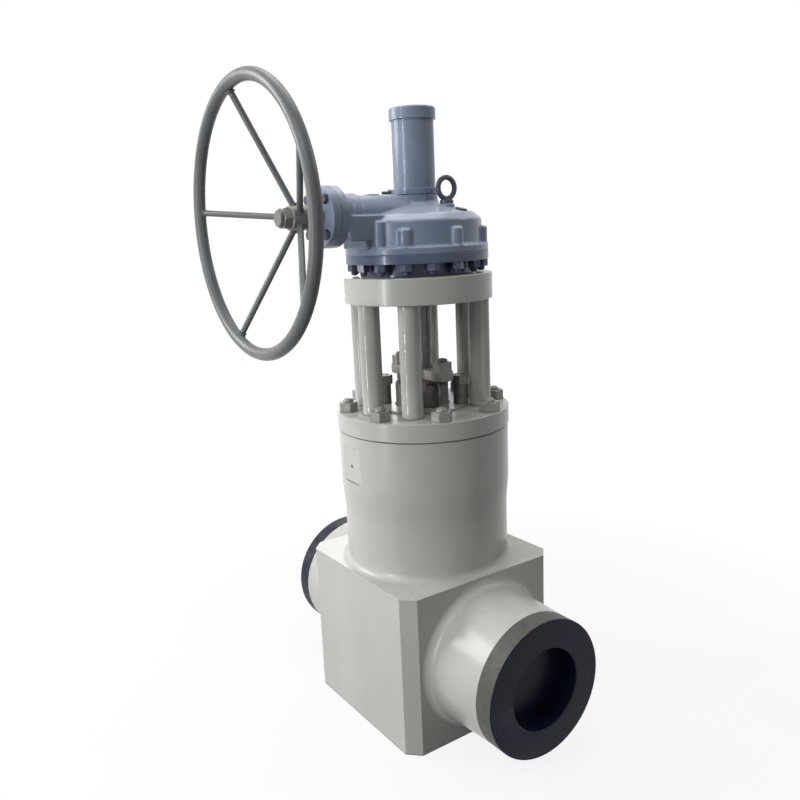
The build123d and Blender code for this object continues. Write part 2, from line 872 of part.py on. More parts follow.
def pinion_housing():
    """The arched housing of the pinion, from the casing out to its round flange."""
    r = input_barrel_d / 2
    r_wall = r + barrel_ledge
    drop = apex_z - casing_flange_top_z
    form = outward(rod(2 * r, 0, barrel_cone_start))
    wall = Pos(0, -drop / 2) * Rectangle(2 * r_wall, drop)
    wall = fillet(wall.vertices().sort_by(Axis.Y)[-2:], ledge_round)
    form += outward(extrude(wall, barrel_collar_start))
    flange_start = input_barrel_end - input_flange_thickness
    r_flange = input_flange_d / 2
    form += outward(turned([
        (0, barrel_collar_start),
        (r_wall, barrel_collar_start),
        (r_wall, barrel_cone_start),
        (r_flange - flange_back_step, flange_start),
        (r_flange, flange_start),
        (r_flange, input_barrel_end),
        (0, input_barrel_end),
    ]))
    pad_middle = casing_d / 2 - input_pad_length
    pad = Box(input_pad_width, input_pad_length, r + input_pad_rise, align=low)
    return form + Pos(0, -pad_middle, apex_z) * pad


def gearbox_casing():
    form = casing_outside() + pinion_housing()
    r_inside = casing_d / 2 - casing_wall
    form -= turned([
        (0, casing_low_z),
        (r_inside, casing_low_z),
        (r_inside, shoulder_z - casing_wall),
        (dome_edge_d / 2 - casing_wall, dome_edge_z - casing_wall),
        (upper_thrust_d / 2, apex_z),
        (0, apex_z),
    ])
    form += outward(rod(input_barrel_d, bearing_boss_start, r_inside + casing_wall / 2))
    form -= rod(sleeve_upper_d + 2 * bush_wall, apex_z, casing_top_z)
    form -= rod(collar_d + 2 * collar_gap, casing_top_z, casing_top_z + collar_height)
    form -= outward(rod(input_bore_d, input_bore_start, input_barrel_end))
    form -= eye_place() * rod(eye_stem_d, eye_seat_z() - eye_stem_depth, eye_seat_z())
    stud_hole = rod(casing_stud_d, casing_low_z, casing_low_z + casing_stud_reach)
    for hole in on_circle(stud_hole, casing_stud_circle_d, casing_stud_count):
        form -= hole
    bolt_hole = rod(input_bolt_d, input_barrel_end - input_flange_thickness, input_barrel_end)
    for hole in on_circle(bolt_hole, input_bolt_circle_d, input_bolt_count, input_bolt_start_angle):
        form -= outward(hole)
    return form


def casing_studs():
    low_z = adaptor_top_z - casing_nut_height - casing_stud_proud
    stud = rod(casing_stud_d, low_z, casing_low_z + casing_stud_reach)
    return group(on_circle(stud, casing_stud_circle_d, casing_stud_count))


def casing_nuts():
    """The nuts hang under the base plate, with their turned corners down."""
    nut = Rot(180, 0, 0) * hex_nut(casing_nut_flats, casing_nut_height, casing_stud_d)
    nut = Pos(0, 0, adaptor_top_z) * nut
    return group(on_circle(nut, casing_stud_circle_d, casing_stud_count))


# Bevel gears
def bevel_tooth(teeth, mate_teeth):
    """One straight tooth, apex at the origin and axis on +Z, centred on the XZ plane."""
    cone = atan(teeth / mate_teeth)
    alpha = radians(pressure_angle)
    flat_r = outer_cone * tan(cone)
    base_r = flat_r * cos(alpha)
    half_pitch_tooth = (pi * gear_module / 2 - tooth_backlash) / 2
    face_dir = Vector(sin(cone), 0, cos(cone))

    def involute(angle):
        return tan(angle) - angle

    def corner(height, side):
        wide_r = max(flat_r + height, base_r)
        at = acos(base_r / wide_r)
        half = (flat_r + height) * (half_pitch_tooth / flat_r + involute(alpha) - involute(at))
        r = outer_cone * sin(cone) + height * cos(cone)
        turn = side * half / r
        point = Vector(r * cos(turn), r * sin(turn), outer_cone * cos(cone) - height * sin(cone))
        return point * (outer_cone / point.dot(face_dir))

    top = tooth_addendum * gear_module
    bottom = -tooth_dedendum * gear_module
    heights = [bottom - tooth_root_sink, 0.45 * bottom, 0.0, 0.5 * top, top]
    left = [corner(h, -1) for h in heights]
    right = [corner(h, 1) for h in reversed(heights)]
    outline = left + right
    inner = (outer_cone - tooth_length) / outer_cone
    outer_face = make_face(Polyline(*outline, close=True))
    inner_face = make_face(Polyline(*[p * inner for p in outline], close=True))
    return loft([outer_face, inner_face], ruled=True)


def root_point(cone, distance):
    """(radius, distance along the axis) on the root cone, at a cone distance."""
    drop = tooth_dedendum * gear_module * distance / outer_cone
    return (distance * sin(cone) - drop * cos(cone), distance * cos(cone) + drop * sin(cone))


def blank_ends(teeth, mate_teeth):
    """The outer and the inner corner of a gear's blank, just past its teeth."""
    cone = atan(teeth / mate_teeth)
    outer = root_point(cone, outer_cone + blank_margin)
    inner = root_point(cone, outer_cone - tooth_length - blank_margin)
    return outer, inner


def bevel_pinion():
    (outer_r, outer_z), (inner_r, inner_z) = blank_ends(pinion_teeth, gear_teeth)
    blank = turned([
        (shaft_d / 2, inner_z),
        (inner_r, inner_z),
        (outer_r, outer_z),
        (outer_r, outer_z + gear_module),
        (shaft_d / 2, outer_z + gear_module),
    ])
    tooth = bevel_tooth(pinion_teeth, gear_teeth)
    teeth = [Rot(0, 0, -90 + k * 360 / pinion_teeth) * tooth for k in range(pinion_teeth)]
    return outward(blank.fuse(*teeth) - pinion_key_slot())


def bevel_gear():
    (outer_r, outer_z), (inner_r, inner_z) = blank_ends(gear_teeth, pinion_teeth)
    seat_z = apex_z - sleeve_shelf_z()
    blank = turned([
        (sleeve_d / 2, inner_z),
        (inner_r, inner_z),
        (outer_r, outer_z),
        (outer_r, outer_z + gear_web / 2),
        (sleeve_collar_d / 2 + gear_hub_margin, seat_z),
        (sleeve_d / 2, seat_z),
    ])
    tooth = bevel_tooth(gear_teeth, pinion_teeth)
    step = 360 / gear_teeth
    teeth = [Rot(0, 0, 90 + step / 2 + k * step) * tooth for k in range(gear_teeth)]
    return Pos(0, 0, apex_z) * Rot(180, 0, 0) * blank.fuse(*teeth) - gear_key()


def sleeve_shelf_z():
    return casing_low_z + thrust_height + sleeve_collar_height


def gear_top_z():
    outer, inner = blank_ends(gear_teeth, pinion_teeth)
    return apex_z - inner[1]


def gear_key():
    """The key between the drive sleeve and the bevel gear."""
    length = gear_top_z() - sleeve_shelf_z()
    key = Box(gear_key_height, gear_key_width, length, align=low)
    return Pos(sleeve_d / 2, 0, sleeve_shelf_z()) * key


def drive_sleeve():
    r, r_up, r_collar = sleeve_d / 2, sleeve_upper_d / 2, sleeve_collar_d / 2
    r_thread = stem_d / 2 + running_clearance
    r_free = r_thread + sleeve_relief
    collar_z = casing_low_z + thrust_height
    sleeve_low_z = casing_low_z - sleeve_drop
    sleeve_top_z = casing_top_z - sleeve_top_gap
    hub_top_z = apex_z - upper_thrust_height - 2 * running_clearance
    outline = [
        (r_thread, sleeve_low_z),
        (r, sleeve_low_z),
        (r, collar_z),
        (r_collar, collar_z),
        (r_collar, sleeve_shelf_z()),
        (r, sleeve_shelf_z()),
        (r, hub_top_z),
        (r_up, hub_top_z),
        (r_up, sleeve_top_z),
        (r_free, sleeve_top_z),
        (r_free, sleeve_low_z + sleeve_thread_length),
        (r_thread, sleeve_low_z + sleeve_thread_length),
    ]
    return turned(outline) - gear_key()


def lower_thrust_bearing():
    top_z = casing_low_z + thrust_height - 2 * running_clearance
    return tube(thrust_d, sleeve_d + 2 * bearing_bore_gap, casing_low_z, top_z)


def upper_thrust_bearing():
    return tube(upper_thrust_d, sleeve_upper_d + 2 * bearing_bore_gap, apex_z - upper_thrust_height, apex_z)


def neck_bush():
    inner_d = sleeve_upper_d + 2 * running_clearance
    return tube(sleeve_upper_d + 2 * bush_wall, inner_d, apex_z, casing_top_z - sleeve_top_gap)


# Input shaft, its bearings and cover
def input_bearings():
    bore = shaft_d + 2 * running_clearance
    starts = (bearing_boss_start, input_barrel_end - bearing_width)
    return group([outward(tube(input_bore_d, bore, one, one + bearing_width)) for one in starts])


def input_cover():
    face = input_barrel_end + input_cover_thickness
    form = tube(input_flange_d, shaft_d + 2 * cover_bore_gap, input_barrel_end, face)
    outer_edge = form.edges().filter_by(GeomType.CIRCLE).group_by(Axis.Z)[-1].sort_by(SortBy.RADIUS)[-1]
    form = fillet(outer_edge, cover_edge_round)
    form -= rod(seal_d, face - seal_depth, face)
    hole = rod(input_bolt_d, input_barrel_end, face)
    for one in on_circle(hole, input_bolt_circle_d, input_bolt_count, input_bolt_start_angle):
        form -= one
    return outward(form)


def input_seal():
    face = input_barrel_end + input_cover_thickness
    return outward(tube(seal_d, shaft_d + 2 * running_clearance, face - seal_depth, face))


def input_cover_bolts():
    face = input_barrel_end + input_cover_thickness
    bolt = rod(input_bolt_d, input_barrel_end - input_flange_thickness, face)
    bolt += Pos(0, 0, face) * hexagon(input_bolt_flats, input_bolt_head)
    return outward(group(on_circle(bolt, input_bolt_circle_d, input_bolt_count, input_bolt_start_angle)))


def key_slot(start, length):
    """A key on the upper side of the input shaft."""
    return Pos(0, shaft_d / 2, start + length / 2) * Box(key_width, key_height, length)


def pinion_key_slot():
    """The pinion's key starts where the root of the teeth is a wall's thickness above its corners."""
    (outer_r, outer_z), (inner_r, inner_z) = blank_ends(pinion_teeth, gear_teeth)
    corner_r = sqrt((shaft_d / 2 + key_height / 2) ** 2 + (key_width / 2) ** 2)
    share = (corner_r + pinion_key_wall - inner_r) / (outer_r - inner_r)
    start = inner_z + (outer_z - inner_z) * share
    return key_slot(start, outer_z + gear_module - start)


def pinion_key():
    return outward(pinion_key_slot())


def input_shaft():
    outer, inner = blank_ends(pinion_teeth, gear_teeth)
    form = rod(shaft_d, inner[1] - shaft_nose, shaft_end)
    form -= pinion_key_slot()
    form = chamfer(form.edges().filter_by(GeomType.CIRCLE).sort_by(Axis.Z)[-1], shaft_end_chamfer)
    form -= key_slot(hub_inner_end, hub_outer_end - hub_inner_end)
    return outward(form)


def wheel_key():
    return outward(key_slot(hub_inner_end, hub_outer_end - hub_inner_end))


def wheel_nut():
    nut = hex_nut(wheel_nut_flats, wheel_nut_height, shaft_d)
    return outward(Pos(0, 0, hub_outer_end) * nut)


# Handwheel
def rim_ring():
    return Pos(0, 0, rim_plane) * Torus(rim_d / 2, rim_bar_d / 2)


def handwheel_rim():
    return outward(rim_ring())


def plain_hub():
    r, r_root = hub_d / 2, shaft_d / 2
    outline = [(r_root, hub_inner_end), (r, hub_inner_end), (r, hub_outer_end), (r_root, hub_outer_end)]
    return turned(outline, [((r, hub_inner_end), hub_edge_round), ((r, hub_outer_end), hub_edge_round)])


def handwheel_hub():
    return outward(plain_hub() - key_slot(hub_inner_end, hub_outer_end - hub_inner_end))


def handwheel_spokes():
    """Straight bars from the hub out to the rim, which stands further out than the hub."""
    across = rim_d / 2
    rise = rim_plane - spoke_root_plane
    length = sqrt(across**2 + rise**2)
    lean = atan(across / rise) * 180 / pi
    bar = Pos(0, 0, spoke_root_plane) * Rot(0, lean, 0) * rod(spoke_d, 0, length)
    bar = bar - rod(hub_d, 0, shaft_end) - rim_ring()
    start = 90 - spoke_start_angle
    bars = [Rot(0, 0, start + k * 360 / spoke_count) * bar for k in range(spoke_count)]
    return outward(group(bars))


# Stem cover
def stem_cover_tube():
    top_z = cover_top_z - cover_cap_thickness
    return tube(cover_tube_d, cover_tube_d - 2 * cover_tube_wall, casing_top_z, top_z)


def stem_cover_cap():
    r, low_z = cover_cap_d / 2, cover_top_z - cover_cap_height
    outline = [
        (cover_tube_d / 2, low_z),
        (r, low_z),
        (r, cover_top_z),
        (0, cover_top_z),
        (0, cover_top_z - cover_cap_thickness),
        (cover_tube_d / 2, cover_top_z - cover_cap_thickness),
    ]
    return turned(outline, [((r, cover_top_z), cover_cap_round)])


def stem_cover_collar():
    form = tube(collar_d, cover_tube_d, casing_top_z, casing_top_z + collar_height)
    hole = rod(lock_screw_d, cover_tube_d / 2 - cut_overlap, collar_d / 2 + cut_overlap)
    return form - lock_screw_place() * hole


def lock_screw_place():
    return Pos(0, 0, casing_top_z + collar_height / 2) * Rot(0, 0, lock_screw_angle) * Rot(0, 90, 0)


def lock_screw():
    """A set screw through the collar, locked by its nut."""
    start = cover_tube_d / 2
    form = rod(lock_screw_d, start, start + lock_screw_length)
    form += Pos(0, 0, collar_d / 2) * hexagon(lock_nut_flats, lock_nut_height)
    return lock_screw_place() * form


# Lifting eye and plug
def lifting_eye():
    foot_z = eye_seat_z()
    seat = rod(eye_foot_d, foot_z, foot_z + eye_foot_height)
    ring = Pos(0, 0, foot_z + eye_centre_rise) * Rot(0, 90, 0) * Torus(eye_ring_d / 2, eye_bar_d / 2)
    shank = rod(eye_stem_d, foot_z - eye_stem_depth, foot_z)
    return eye_place() * (seat + ring + shank)


def oil_plug():
    slope = atan((dome_top_z - dome_edge_z) / (dome_edge_d / 2 - casing_neck_d / 2)) * 180 / pi
    place = Pos(plug_circle_d / 2, 0, dome_height(plug_circle_d / 2)) * Rot(0, slope, 0)
    return Rot(0, 0, plug_angle) * place * rod(plug_d, 0, plug_rise)


# End cap
def end_cap():
    """Push-on cap: a skirt over the weld end and a face dished into the bore."""
    r_skirt = stub_end_d / 2
    r_inner = weld_end_d / 2 + cap_clearance
    r_dish = cap_dish_d / 2
    mouth = stub_end_x + cap_clearance
    back = weld_face_x + cap_clearance
    face = back + cap_face_thickness
    floor = face - cap_dish_depth
    outline = [
        (r_inner, mouth),
        (r_skirt, mouth),
        (r_skirt, face),
        (r_dish, face),
        (r_dish, floor),
        (0, floor),
        (0, floor - cap_dish_wall),
        (r_dish + cap_dish_wall, floor - cap_dish_wall),
        (r_dish + cap_dish_wall, back),
        (r_inner, back),
    ]
    rounds = [((r_skirt, face), cap_edge), ((r_dish, face), cap_edge)]
    return along_x(turned(outline, rounds))


parts = {
    "valve_body": valve_body(),
    "bonnet": bonnet(),
    "back_seat_bush": back_seat_bush(),
    "seal_ring": seal_ring(),
    "spacer_ring": spacer_ring(),
    "segment_ring": segment_ring(),
    "bonnet_flange": bonnet_flange(),
    "flange_studs": flange_studs(),
    "flange_nuts": flange_nuts(),
    "take_up_studs": take_up_studs(),
    "take_up_sleeves": take_up_sleeves(),
    "take_up_nuts": take_up_nuts(),
    "packing_rings": group([packing_ring(k) for k in range(packing_count)]),
    "gland_follower": gland_follower(),
    "gland_flange": gland_flange(),
    "gland_studs": gland_studs(),
    "gland_nuts": gland_nuts(),
    "yoke_plate": yoke_plate(),
    "gearbox_adaptor": gearbox_adaptor(),
    "gearbox_base": gearbox_base(),
    "sunk_screws": sunk_screws(),
    "gearbox_casing": gearbox_casing(),
    "casing_studs": casing_studs(),
    "casing_nuts": casing_nuts(),
    "lower_thrust_bearing": lower_thrust_bearing(),
    "upper_thrust_bearing": upper_thrust_bearing(),
    "neck_bush": neck_bush(),
    "input_bearings": input_bearings(),
    "input_cover": input_cover(),
    "input_cover_bolts": input_cover_bolts(),
    "input_seal": input_seal(),
    "stem_cover_tube": stem_cover_tube(),
    "stem_cover_cap": stem_cover_cap(),
    "stem_cover_collar": stem_cover_collar(),
    "cover_lock_screw": lock_screw(),
    "lifting_eye": lifting_eye(),
    "oil_plug": oil_plug(),
    "bevel_gear": bevel_gear(),
    "gear_key": gear_key(),
    "drive_sleeve": drive_sleeve(),
    "bevel_pinion": bevel_pinion(),
    "pinion_key": pinion_key(),
    "input_shaft": input_shaft(),
    "wheel_key": wheel_key(),
    "wheel_nut": wheel_nut(),
    "handwheel_hub": handwheel_hub(),
    "handwheel_spokes": handwheel_spokes(),
    "handwheel_rim": handwheel_rim(),
    "stem": stem(),
    "wedge": wedge(),
}
for end, ring in zip(("near", "far"), both_ends(seat_ring())):
    parts[f"seat_ring_{end}"] = ring
for end, cap in zip(("near", "far"), both_ends(end_cap())):
    parts[f"end_cap_{end}"] = cap
for number, angle in enumerate(pillar_angles, start=1):
    parts[f"yoke_pillar_{number}"] = yoke_pillar(angle)

for name, shape in parts.items():
    export_step(shape, f"parts/{name}.step")
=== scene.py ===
# %% [markdown]
# # A gear operated gate valve, dressed for its portrait
# The valve is a real machine of some sixty kinds of pieces: a forged block with two weld stubs, a
# round neck, a bolted flange, six bars that carry a yoke plate, and a bevel gearbox with its
# handwheel. The solids of all of them come ready made, at their real size. This lesson gives
# them their paint, their steel and the small forms that a solid leaves out, such as threads,
# weld beads and rounded edges. Everything is in metres, with Z up and X along the flow.

# %% Load the frame
import json
import math

import bmesh
import bpy
from mathutils import Matrix, Vector


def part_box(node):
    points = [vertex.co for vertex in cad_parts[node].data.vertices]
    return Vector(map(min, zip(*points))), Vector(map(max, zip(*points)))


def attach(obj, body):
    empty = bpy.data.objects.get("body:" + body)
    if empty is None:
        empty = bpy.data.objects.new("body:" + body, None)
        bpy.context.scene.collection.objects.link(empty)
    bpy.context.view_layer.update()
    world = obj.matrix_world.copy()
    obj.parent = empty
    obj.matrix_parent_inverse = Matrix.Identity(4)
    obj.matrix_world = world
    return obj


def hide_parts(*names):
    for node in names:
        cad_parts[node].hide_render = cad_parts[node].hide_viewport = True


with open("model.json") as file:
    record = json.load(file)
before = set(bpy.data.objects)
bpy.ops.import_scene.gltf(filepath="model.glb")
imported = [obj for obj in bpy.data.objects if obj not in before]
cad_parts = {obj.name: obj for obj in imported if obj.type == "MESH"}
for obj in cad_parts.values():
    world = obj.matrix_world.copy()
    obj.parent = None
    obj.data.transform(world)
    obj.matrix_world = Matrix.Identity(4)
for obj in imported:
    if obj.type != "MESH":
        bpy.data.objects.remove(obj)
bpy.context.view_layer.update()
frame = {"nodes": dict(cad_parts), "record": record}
nodes = frame["nodes"]

# %% [markdown]
# ## The camera
# The photograph was taken from the right front, a little above the yoke, with a short lens held
# slightly askew. The place and the three angles were worked out from the corners of the block
# and the ellipses of its round parts. A camera looks along its own -Z, so its matrix is built
# from three directions: to the right in the picture, up in the picture, and back.

# %% Camera
camera_place = Vector((1.7063, -1.2285, 1.3125))
camera_yaw = math.radians(56.182)
camera_pitch = math.radians(12.099)
camera_roll = math.radians(2.544)
camera_lens = 35.757
camera_reach = 60
camera_shift = (0.005, -0.0015)
sensor_width = 36.0


def camera_axes():
    level = Vector((math.cos(camera_yaw), math.sin(camera_yaw), 0))
    ahead = Vector((-math.sin(camera_yaw) * math.cos(camera_pitch),
                    math.cos(camera_yaw) * math.cos(camera_pitch), -math.sin(camera_pitch)))
    down = ahead.cross(level)
    right = level * math.cos(camera_roll) + down * math.sin(camera_roll)
    up = level * math.sin(camera_roll) - down * math.cos(camera_roll)
    return right, up, -ahead


def make_camera():
    data = bpy.data.cameras.new("portrait")
    data.sensor_width = sensor_width
    data.lens = camera_lens
    data.shift_x, data.shift_y = camera_shift
    data.clip_end = camera_reach
    camera = bpy.data.objects.new("portrait", data)
    held = Matrix(camera_axes()).transposed().to_4x4()
    camera.matrix_world = Matrix.Translation(camera_place) @ held
    bpy.context.scene.collection.objects.link(camera)
    bpy.context.scene.camera = camera
    return camera


camera = make_camera()
bpy.context.scene.view_settings.view_transform = "Standard"
print("camera at", [round(v, 3) for v in camera.location], "lens", camera_lens)

# %% [markdown]
# ## Numbers that vary over a surface
# A finish is arithmetic on patterns: take some noise, stretch it, add it to a grey. In Blender
# each sum is a Math node, and a screen full of wires is hard to read. The small class below
# wraps one socket and lets Python's own operators add the nodes, so that a finish reads as the
# formula that it is.


# %% A socket with operators
class Field:
    """One value that varies over a surface, and the finish whose nodes work it out."""

    def __init__(self, finish, socket):
        self.finish = finish
        self.socket = socket

    def maths(self, operation, *values):
        return self.finish.node("Math", {"operation": operation}, *values)

    def __add__(self, other):
        return self.maths("ADD", self, other)

    def __sub__(self, other):
        return self.maths("SUBTRACT", self, other)

    def __rsub__(self, other):
        return self.maths("SUBTRACT", other, self)

    def __mul__(self, other):
        return self.maths("MULTIPLY", self, other)

    def __abs__(self):
        return self.maths("ABSOLUTE", self)

    __radd__ = __add__
    __rmul__ = __mul__

    def between(self, low, high):
        """0 below low, 1 above high, and a soft step from one to the other."""
        settings = {"interpolation_type": "SMOOTHSTEP"}
        return self.finish.node("MapRange", settings, self, low, high)


print("a field adds, subtracts, multiplies, drops its sign and steps between two levels")

# %% [markdown]
# ## A material and its patterns
# Every node comes from one method, which takes the kind of node, its settings and what its
# sockets get. The others are the patterns that all finishes share. A noise's first number is
# how often it repeats in a metre, and the second is how much finer detail rides on it. Dust
# lies where the surface looks up. A short feeler in all directions finds where metal is close,
# and the finishes darken the colour there, as painted shade in the corners. Colours go through
# Mix, because a Math node would turn them grey.

# %% A finish
crevice_samples = 6
mix_sockets = {"factor": 0, "first": 6, "second": 7}
mix_colour_out = 2


class Finish:
    """A material, and the few ways in which its nodes are made."""

    def __init__(self, name, **shader):
        self.material = bpy.data.materials.new(name)
        self.material.use_nodes = True
        self.tree = self.material.node_tree
        self.shader = self.tree.nodes["Principled BSDF"]
        self.set(**shader)
        self.place = self.node("TexCoord", out="Object")
        self.facing = self.node("TexCoord", out="Normal")

    def node(self, kind, settings=None, *values, out=0, **named):
        """Any node: its settings first, then the values or links of its sockets."""
        made = self.tree.nodes.new("ShaderNode" + kind)
        for key, value in (settings or {}).items():
            setattr(made, key, value)
        sockets = list(enumerate(values)) + [(key.replace("_", " "), v) for key, v in named.items()]
        for key, value in sockets:
            self.feed(made.inputs[key], value)
        return Field(self, made.outputs[out])

    def feed(self, socket, value):
        if isinstance(value, Field):
            self.tree.links.new(value.socket, socket)
        else:
            socket.default_value = value

    def set(self, **sockets):
        for key, value in sockets.items():
            self.feed(self.shader.inputs[key.replace("_", " ")], value)

    def vectors(self, operation, *values, out="Vector"):
        return self.node("VectorMath", {"operation": operation}, *values, out=out)

    def part(self, vector, letter):
        """One of the three numbers of a vector."""
        return self.node("SeparateXYZ", None, vector, out=letter)

    def stretched(self, x, y, z):
        """The place on the object, squeezed or stretched along its axes."""
        return self.vectors("MULTIPLY", self.place, (x, y, z))

    def noise(self, scale, detail=2.0, rough=0.5, place=None):
        return self.node("TexNoise", None, Vector=place or self.place, Scale=scale, Detail=detail,
                         Roughness=rough)

    def upness(self):
        """1 on faces that look up, 0 on upright ones and below."""
        return self.part(self.facing, "Z").between(0.55, 0.98)

    def crevice(self, reach, low=0.35, high=0.95):
        """1 deep in a corner between pieces, 0 in the open."""
        settings = {"samples": crevice_samples}
        open_air = self.node("AmbientOcclusion", settings, Distance=reach, out="AO")
        return (1 - open_air).between(low, high)

    def colour(self, factor, first, second):
        """One colour where factor is 0, the other where it is 1."""
        made = self.tree.nodes.new("ShaderNodeMix")
        made.data_type = "RGBA"
        self.feed(made.inputs[mix_sockets["factor"]], factor)
        self.feed(made.inputs[mix_sockets["first"]], first)
        self.feed(made.inputs[mix_sockets["second"]], second)
        return Field(self, made.outputs[mix_colour_out])

    def bump(self, *layers):
        """Stacks (height field, distance in metres) pairs into one normal."""
        normal = None
        for field, distance in layers:
            under = {} if normal is None else {"Normal": normal}
            normal = self.node("Bump", None, Strength=1.0, Distance=distance, Height=field, **under)
        self.set(Normal=normal)


print("patterns: noise, upness, crevice; they meet in colour and bump")

# %% [markdown]
# ## Colours as a screen shows them
# A paint chip is easiest to name by the levels that a screen shows, 0 to 255. The shader counts
# light instead, and a screen's levels are bent against light, so each is straightened first.

# %% Colours
white = (1, 1, 1, 1)
black = (0, 0, 0, 1)


def screen(red, green, blue):
    """A colour as it reads on a screen, turned into what the shader wants."""
    def linear(level):
        level = level / 255
        return level / 12.92 if level <= 0.04045 else ((level + 0.055) / 1.055) ** 2.4
    return (linear(red), linear(green), linear(blue), 1)


def paler(tone, levels):
    """The same colour, some levels lighter on the screen."""
    return screen(*[min(255, level + levels) for level in tone])


print("level 128 on the screen is", round(screen(128, 128, 128)[0], 3), "of full light")

# %% [markdown]
# ## The body's paint
# The forging, the flange, the six bars and the yoke plate wear the same warm light grey, sprayed
# on by hand and semi-gloss. A flat colour would look like plastic. What makes it paint is that
# its tone drifts from one spray pass to the next, dust dulls the faces that look up, and the skin
# has a fine orange peel over the gentle waves of the steel under it. Corners and the seams
# between pieces are darkened in the colour, as painted shade. The turned bars are smoother than
# the forging, so their paint is glossier.

# %% Body paint
body_dust = screen(200, 198, 190)
body_corner_shade = screen(104, 102, 97)
seam_shadow = screen(38, 37, 35)
finishes = {}


def body_paint(name, tone, shade, rough):
    paint = Finish(name, IOR=1.5, Specular_IOR_Level=0.30, Coat_Roughness=0.08)
    drift = paint.noise(3.5, 3.0).between(0.3, 0.7)
    passes = paint.noise(9.0, 2.0, place=paint.stretched(1, 1, 0.12)).between(0.35, 0.75)
    specks = paint.noise(900.0, 1.0).between(0.70, 0.78)
    coat = paint.colour(drift * 0.7 + passes * 0.3, screen(*tone), screen(*shade))
    coat = paint.colour(specks * 0.15, coat, paler(tone, 25))
    dusty = paint.upness() * paint.noise(6.0, 2.0).between(0.25, 0.8)
    coat = paint.colour(dusty * 0.15, coat, body_dust)
    # Corners and the seams between pieces are darkened toward brown-grey and near black: painted
    # shade.
    corner_shade = paint.crevice(0.02)
    seam_shade = paint.crevice(0.006, 0.12, 0.5)
    coat = paint.colour(corner_shade * 0.40, coat, body_corner_shade)
    coat = paint.colour(seam_shade * 0.75, coat, seam_shadow)
    rubbed = paint.noise(20.0, 2.0).between(0.2, 0.8)
    paint.set(Base_Color=coat, Roughness=dusty * 0.05 + rubbed * 0.03 + corner_shade * 0.2 + rough,
              Coat_Weight=0.05 - dusty * 0.03)
    peel = paint.noise(420.0, 2.0)
    waves = paint.noise(9.0, 2.0)
    paint.bump((waves, 0.0004), (peel, 0.00001))
    return paint.material


def keep(name, maker, **recipe):
    """Makes a finish and puts it on the shelf under its name."""
    finishes[name] = maker(name, **recipe)
    print("finish", name, "has", len(finishes[name].node_tree.nodes), "nodes")


keep("body_paint", body_paint, tone=(190, 190, 186), shade=(179, 179, 174), rough=0.24)
keep("bar_paint", body_paint, tone=(184, 184, 180), shade=(173, 173, 168), rough=0.07)

# %% [markdown]
# ## The gearbox's paint
# The gearbox is cast iron and comes painted by its own maker in blue-grey. Sand castings have a
# pebbled skin that the paint only half fills, so the bump is coarser and uneven here. Paint is
# darker in the pits. Faces that look up are made paler and bluer, as painted light from the sky,
# and corners are darkened, as painted shade. The parts low down and inside the ring of studs sit
# in shade, so each gets a darker copy of the paint, which is painted shade as well.

# %% Gearbox paint
painted_sky_light = screen(186, 193, 212)
gear_dust = screen(158, 163, 174)
gear_corner_shade = screen(30, 33, 44)
gear_pits = screen(66, 72, 88)


def gear_paint(name, tone, shade, gloss, chalked=0.0):
    """The last number says how much paler the paint is where it faces up: painted light from the
    sky.
    """
    paint = Finish(name, IOR=1.5, Specular_IOR_Level=gloss, Coat_Roughness=0.1)
    drift = paint.noise(7.0, 4.0, 0.6).between(0.3, 0.7)
    coat = paint.colour(drift, screen(*tone), screen(*shade))
    # Upward faces are mixed toward a pale blue-grey: painted light from the sky.
    sky_lit = paint.part(paint.facing, "Z").between(0.05, 0.85)
    coat = paint.colour(sky_lit * chalked, coat, painted_sky_light)
    dusty = paint.upness() * paint.noise(30.0, 4.0, 0.6).between(0.35, 0.7)
    coat = paint.colour(dusty * 0.2, coat, gear_dust)
    # Corners are darkened toward a deep blue-grey: painted shade.
    corner_shade = paint.crevice(0.012)
    coat = paint.colour(corner_shade * 0.7, coat, gear_corner_shade)
    pits = paint.noise(260.0, 3.0, 0.6).between(0.62, 0.74)
    coat = paint.colour(pits * 0.25, coat, gear_pits)
    paint.set(Base_Color=coat, Roughness=drift * 0.08 + dusty * 0.15 + pits * 0.1 + 0.26,
              Coat_Weight=0.2 - dusty * 0.15)
    sand = paint.noise(150.0, 4.0, 0.62)
    waves = paint.noise(28.0, 2.0)
    paint.bump((waves, 0.0006), (sand, 0.00009))
    return paint.material


keep("gear_paint", gear_paint, tone=(121, 136, 158), shade=(108, 122, 145), gloss=0.35, chalked=0.68)
keep("tube_paint", gear_paint, tone=(134, 147, 168), shade=(123, 136, 157), gloss=0.2, chalked=0.4)
# The base plate and the pieces in the gap under the gearbox get darker copies of the paint: painted
# shade.
keep("gear_low", gear_paint, tone=(80, 92, 120), shade=(69, 80, 107), gloss=0.3, chalked=0.4)
keep("gear_deep", gear_paint, tone=(88, 96, 120), shade=(75, 83, 106), gloss=0.2)
keep("eye_paint", gear_paint, tone=(62, 68, 90), shade=(52, 58, 78), gloss=0.3)

# %% [markdown]
# ## The handwheel's paint
# The handwheel is tube and bar under a plain grey. Hands have rubbed it smoother in patches.
# Corners, such as where the spokes meet the rim, are darkened as painted shade. The hub and its nut
# get a paler copy of the grey, as painted light that lifts them out of the shade they sit in.

# %% Handwheel paint
rubbed_grey = screen(130, 131, 129)
wheel_corner_shade = screen(44, 43, 40)


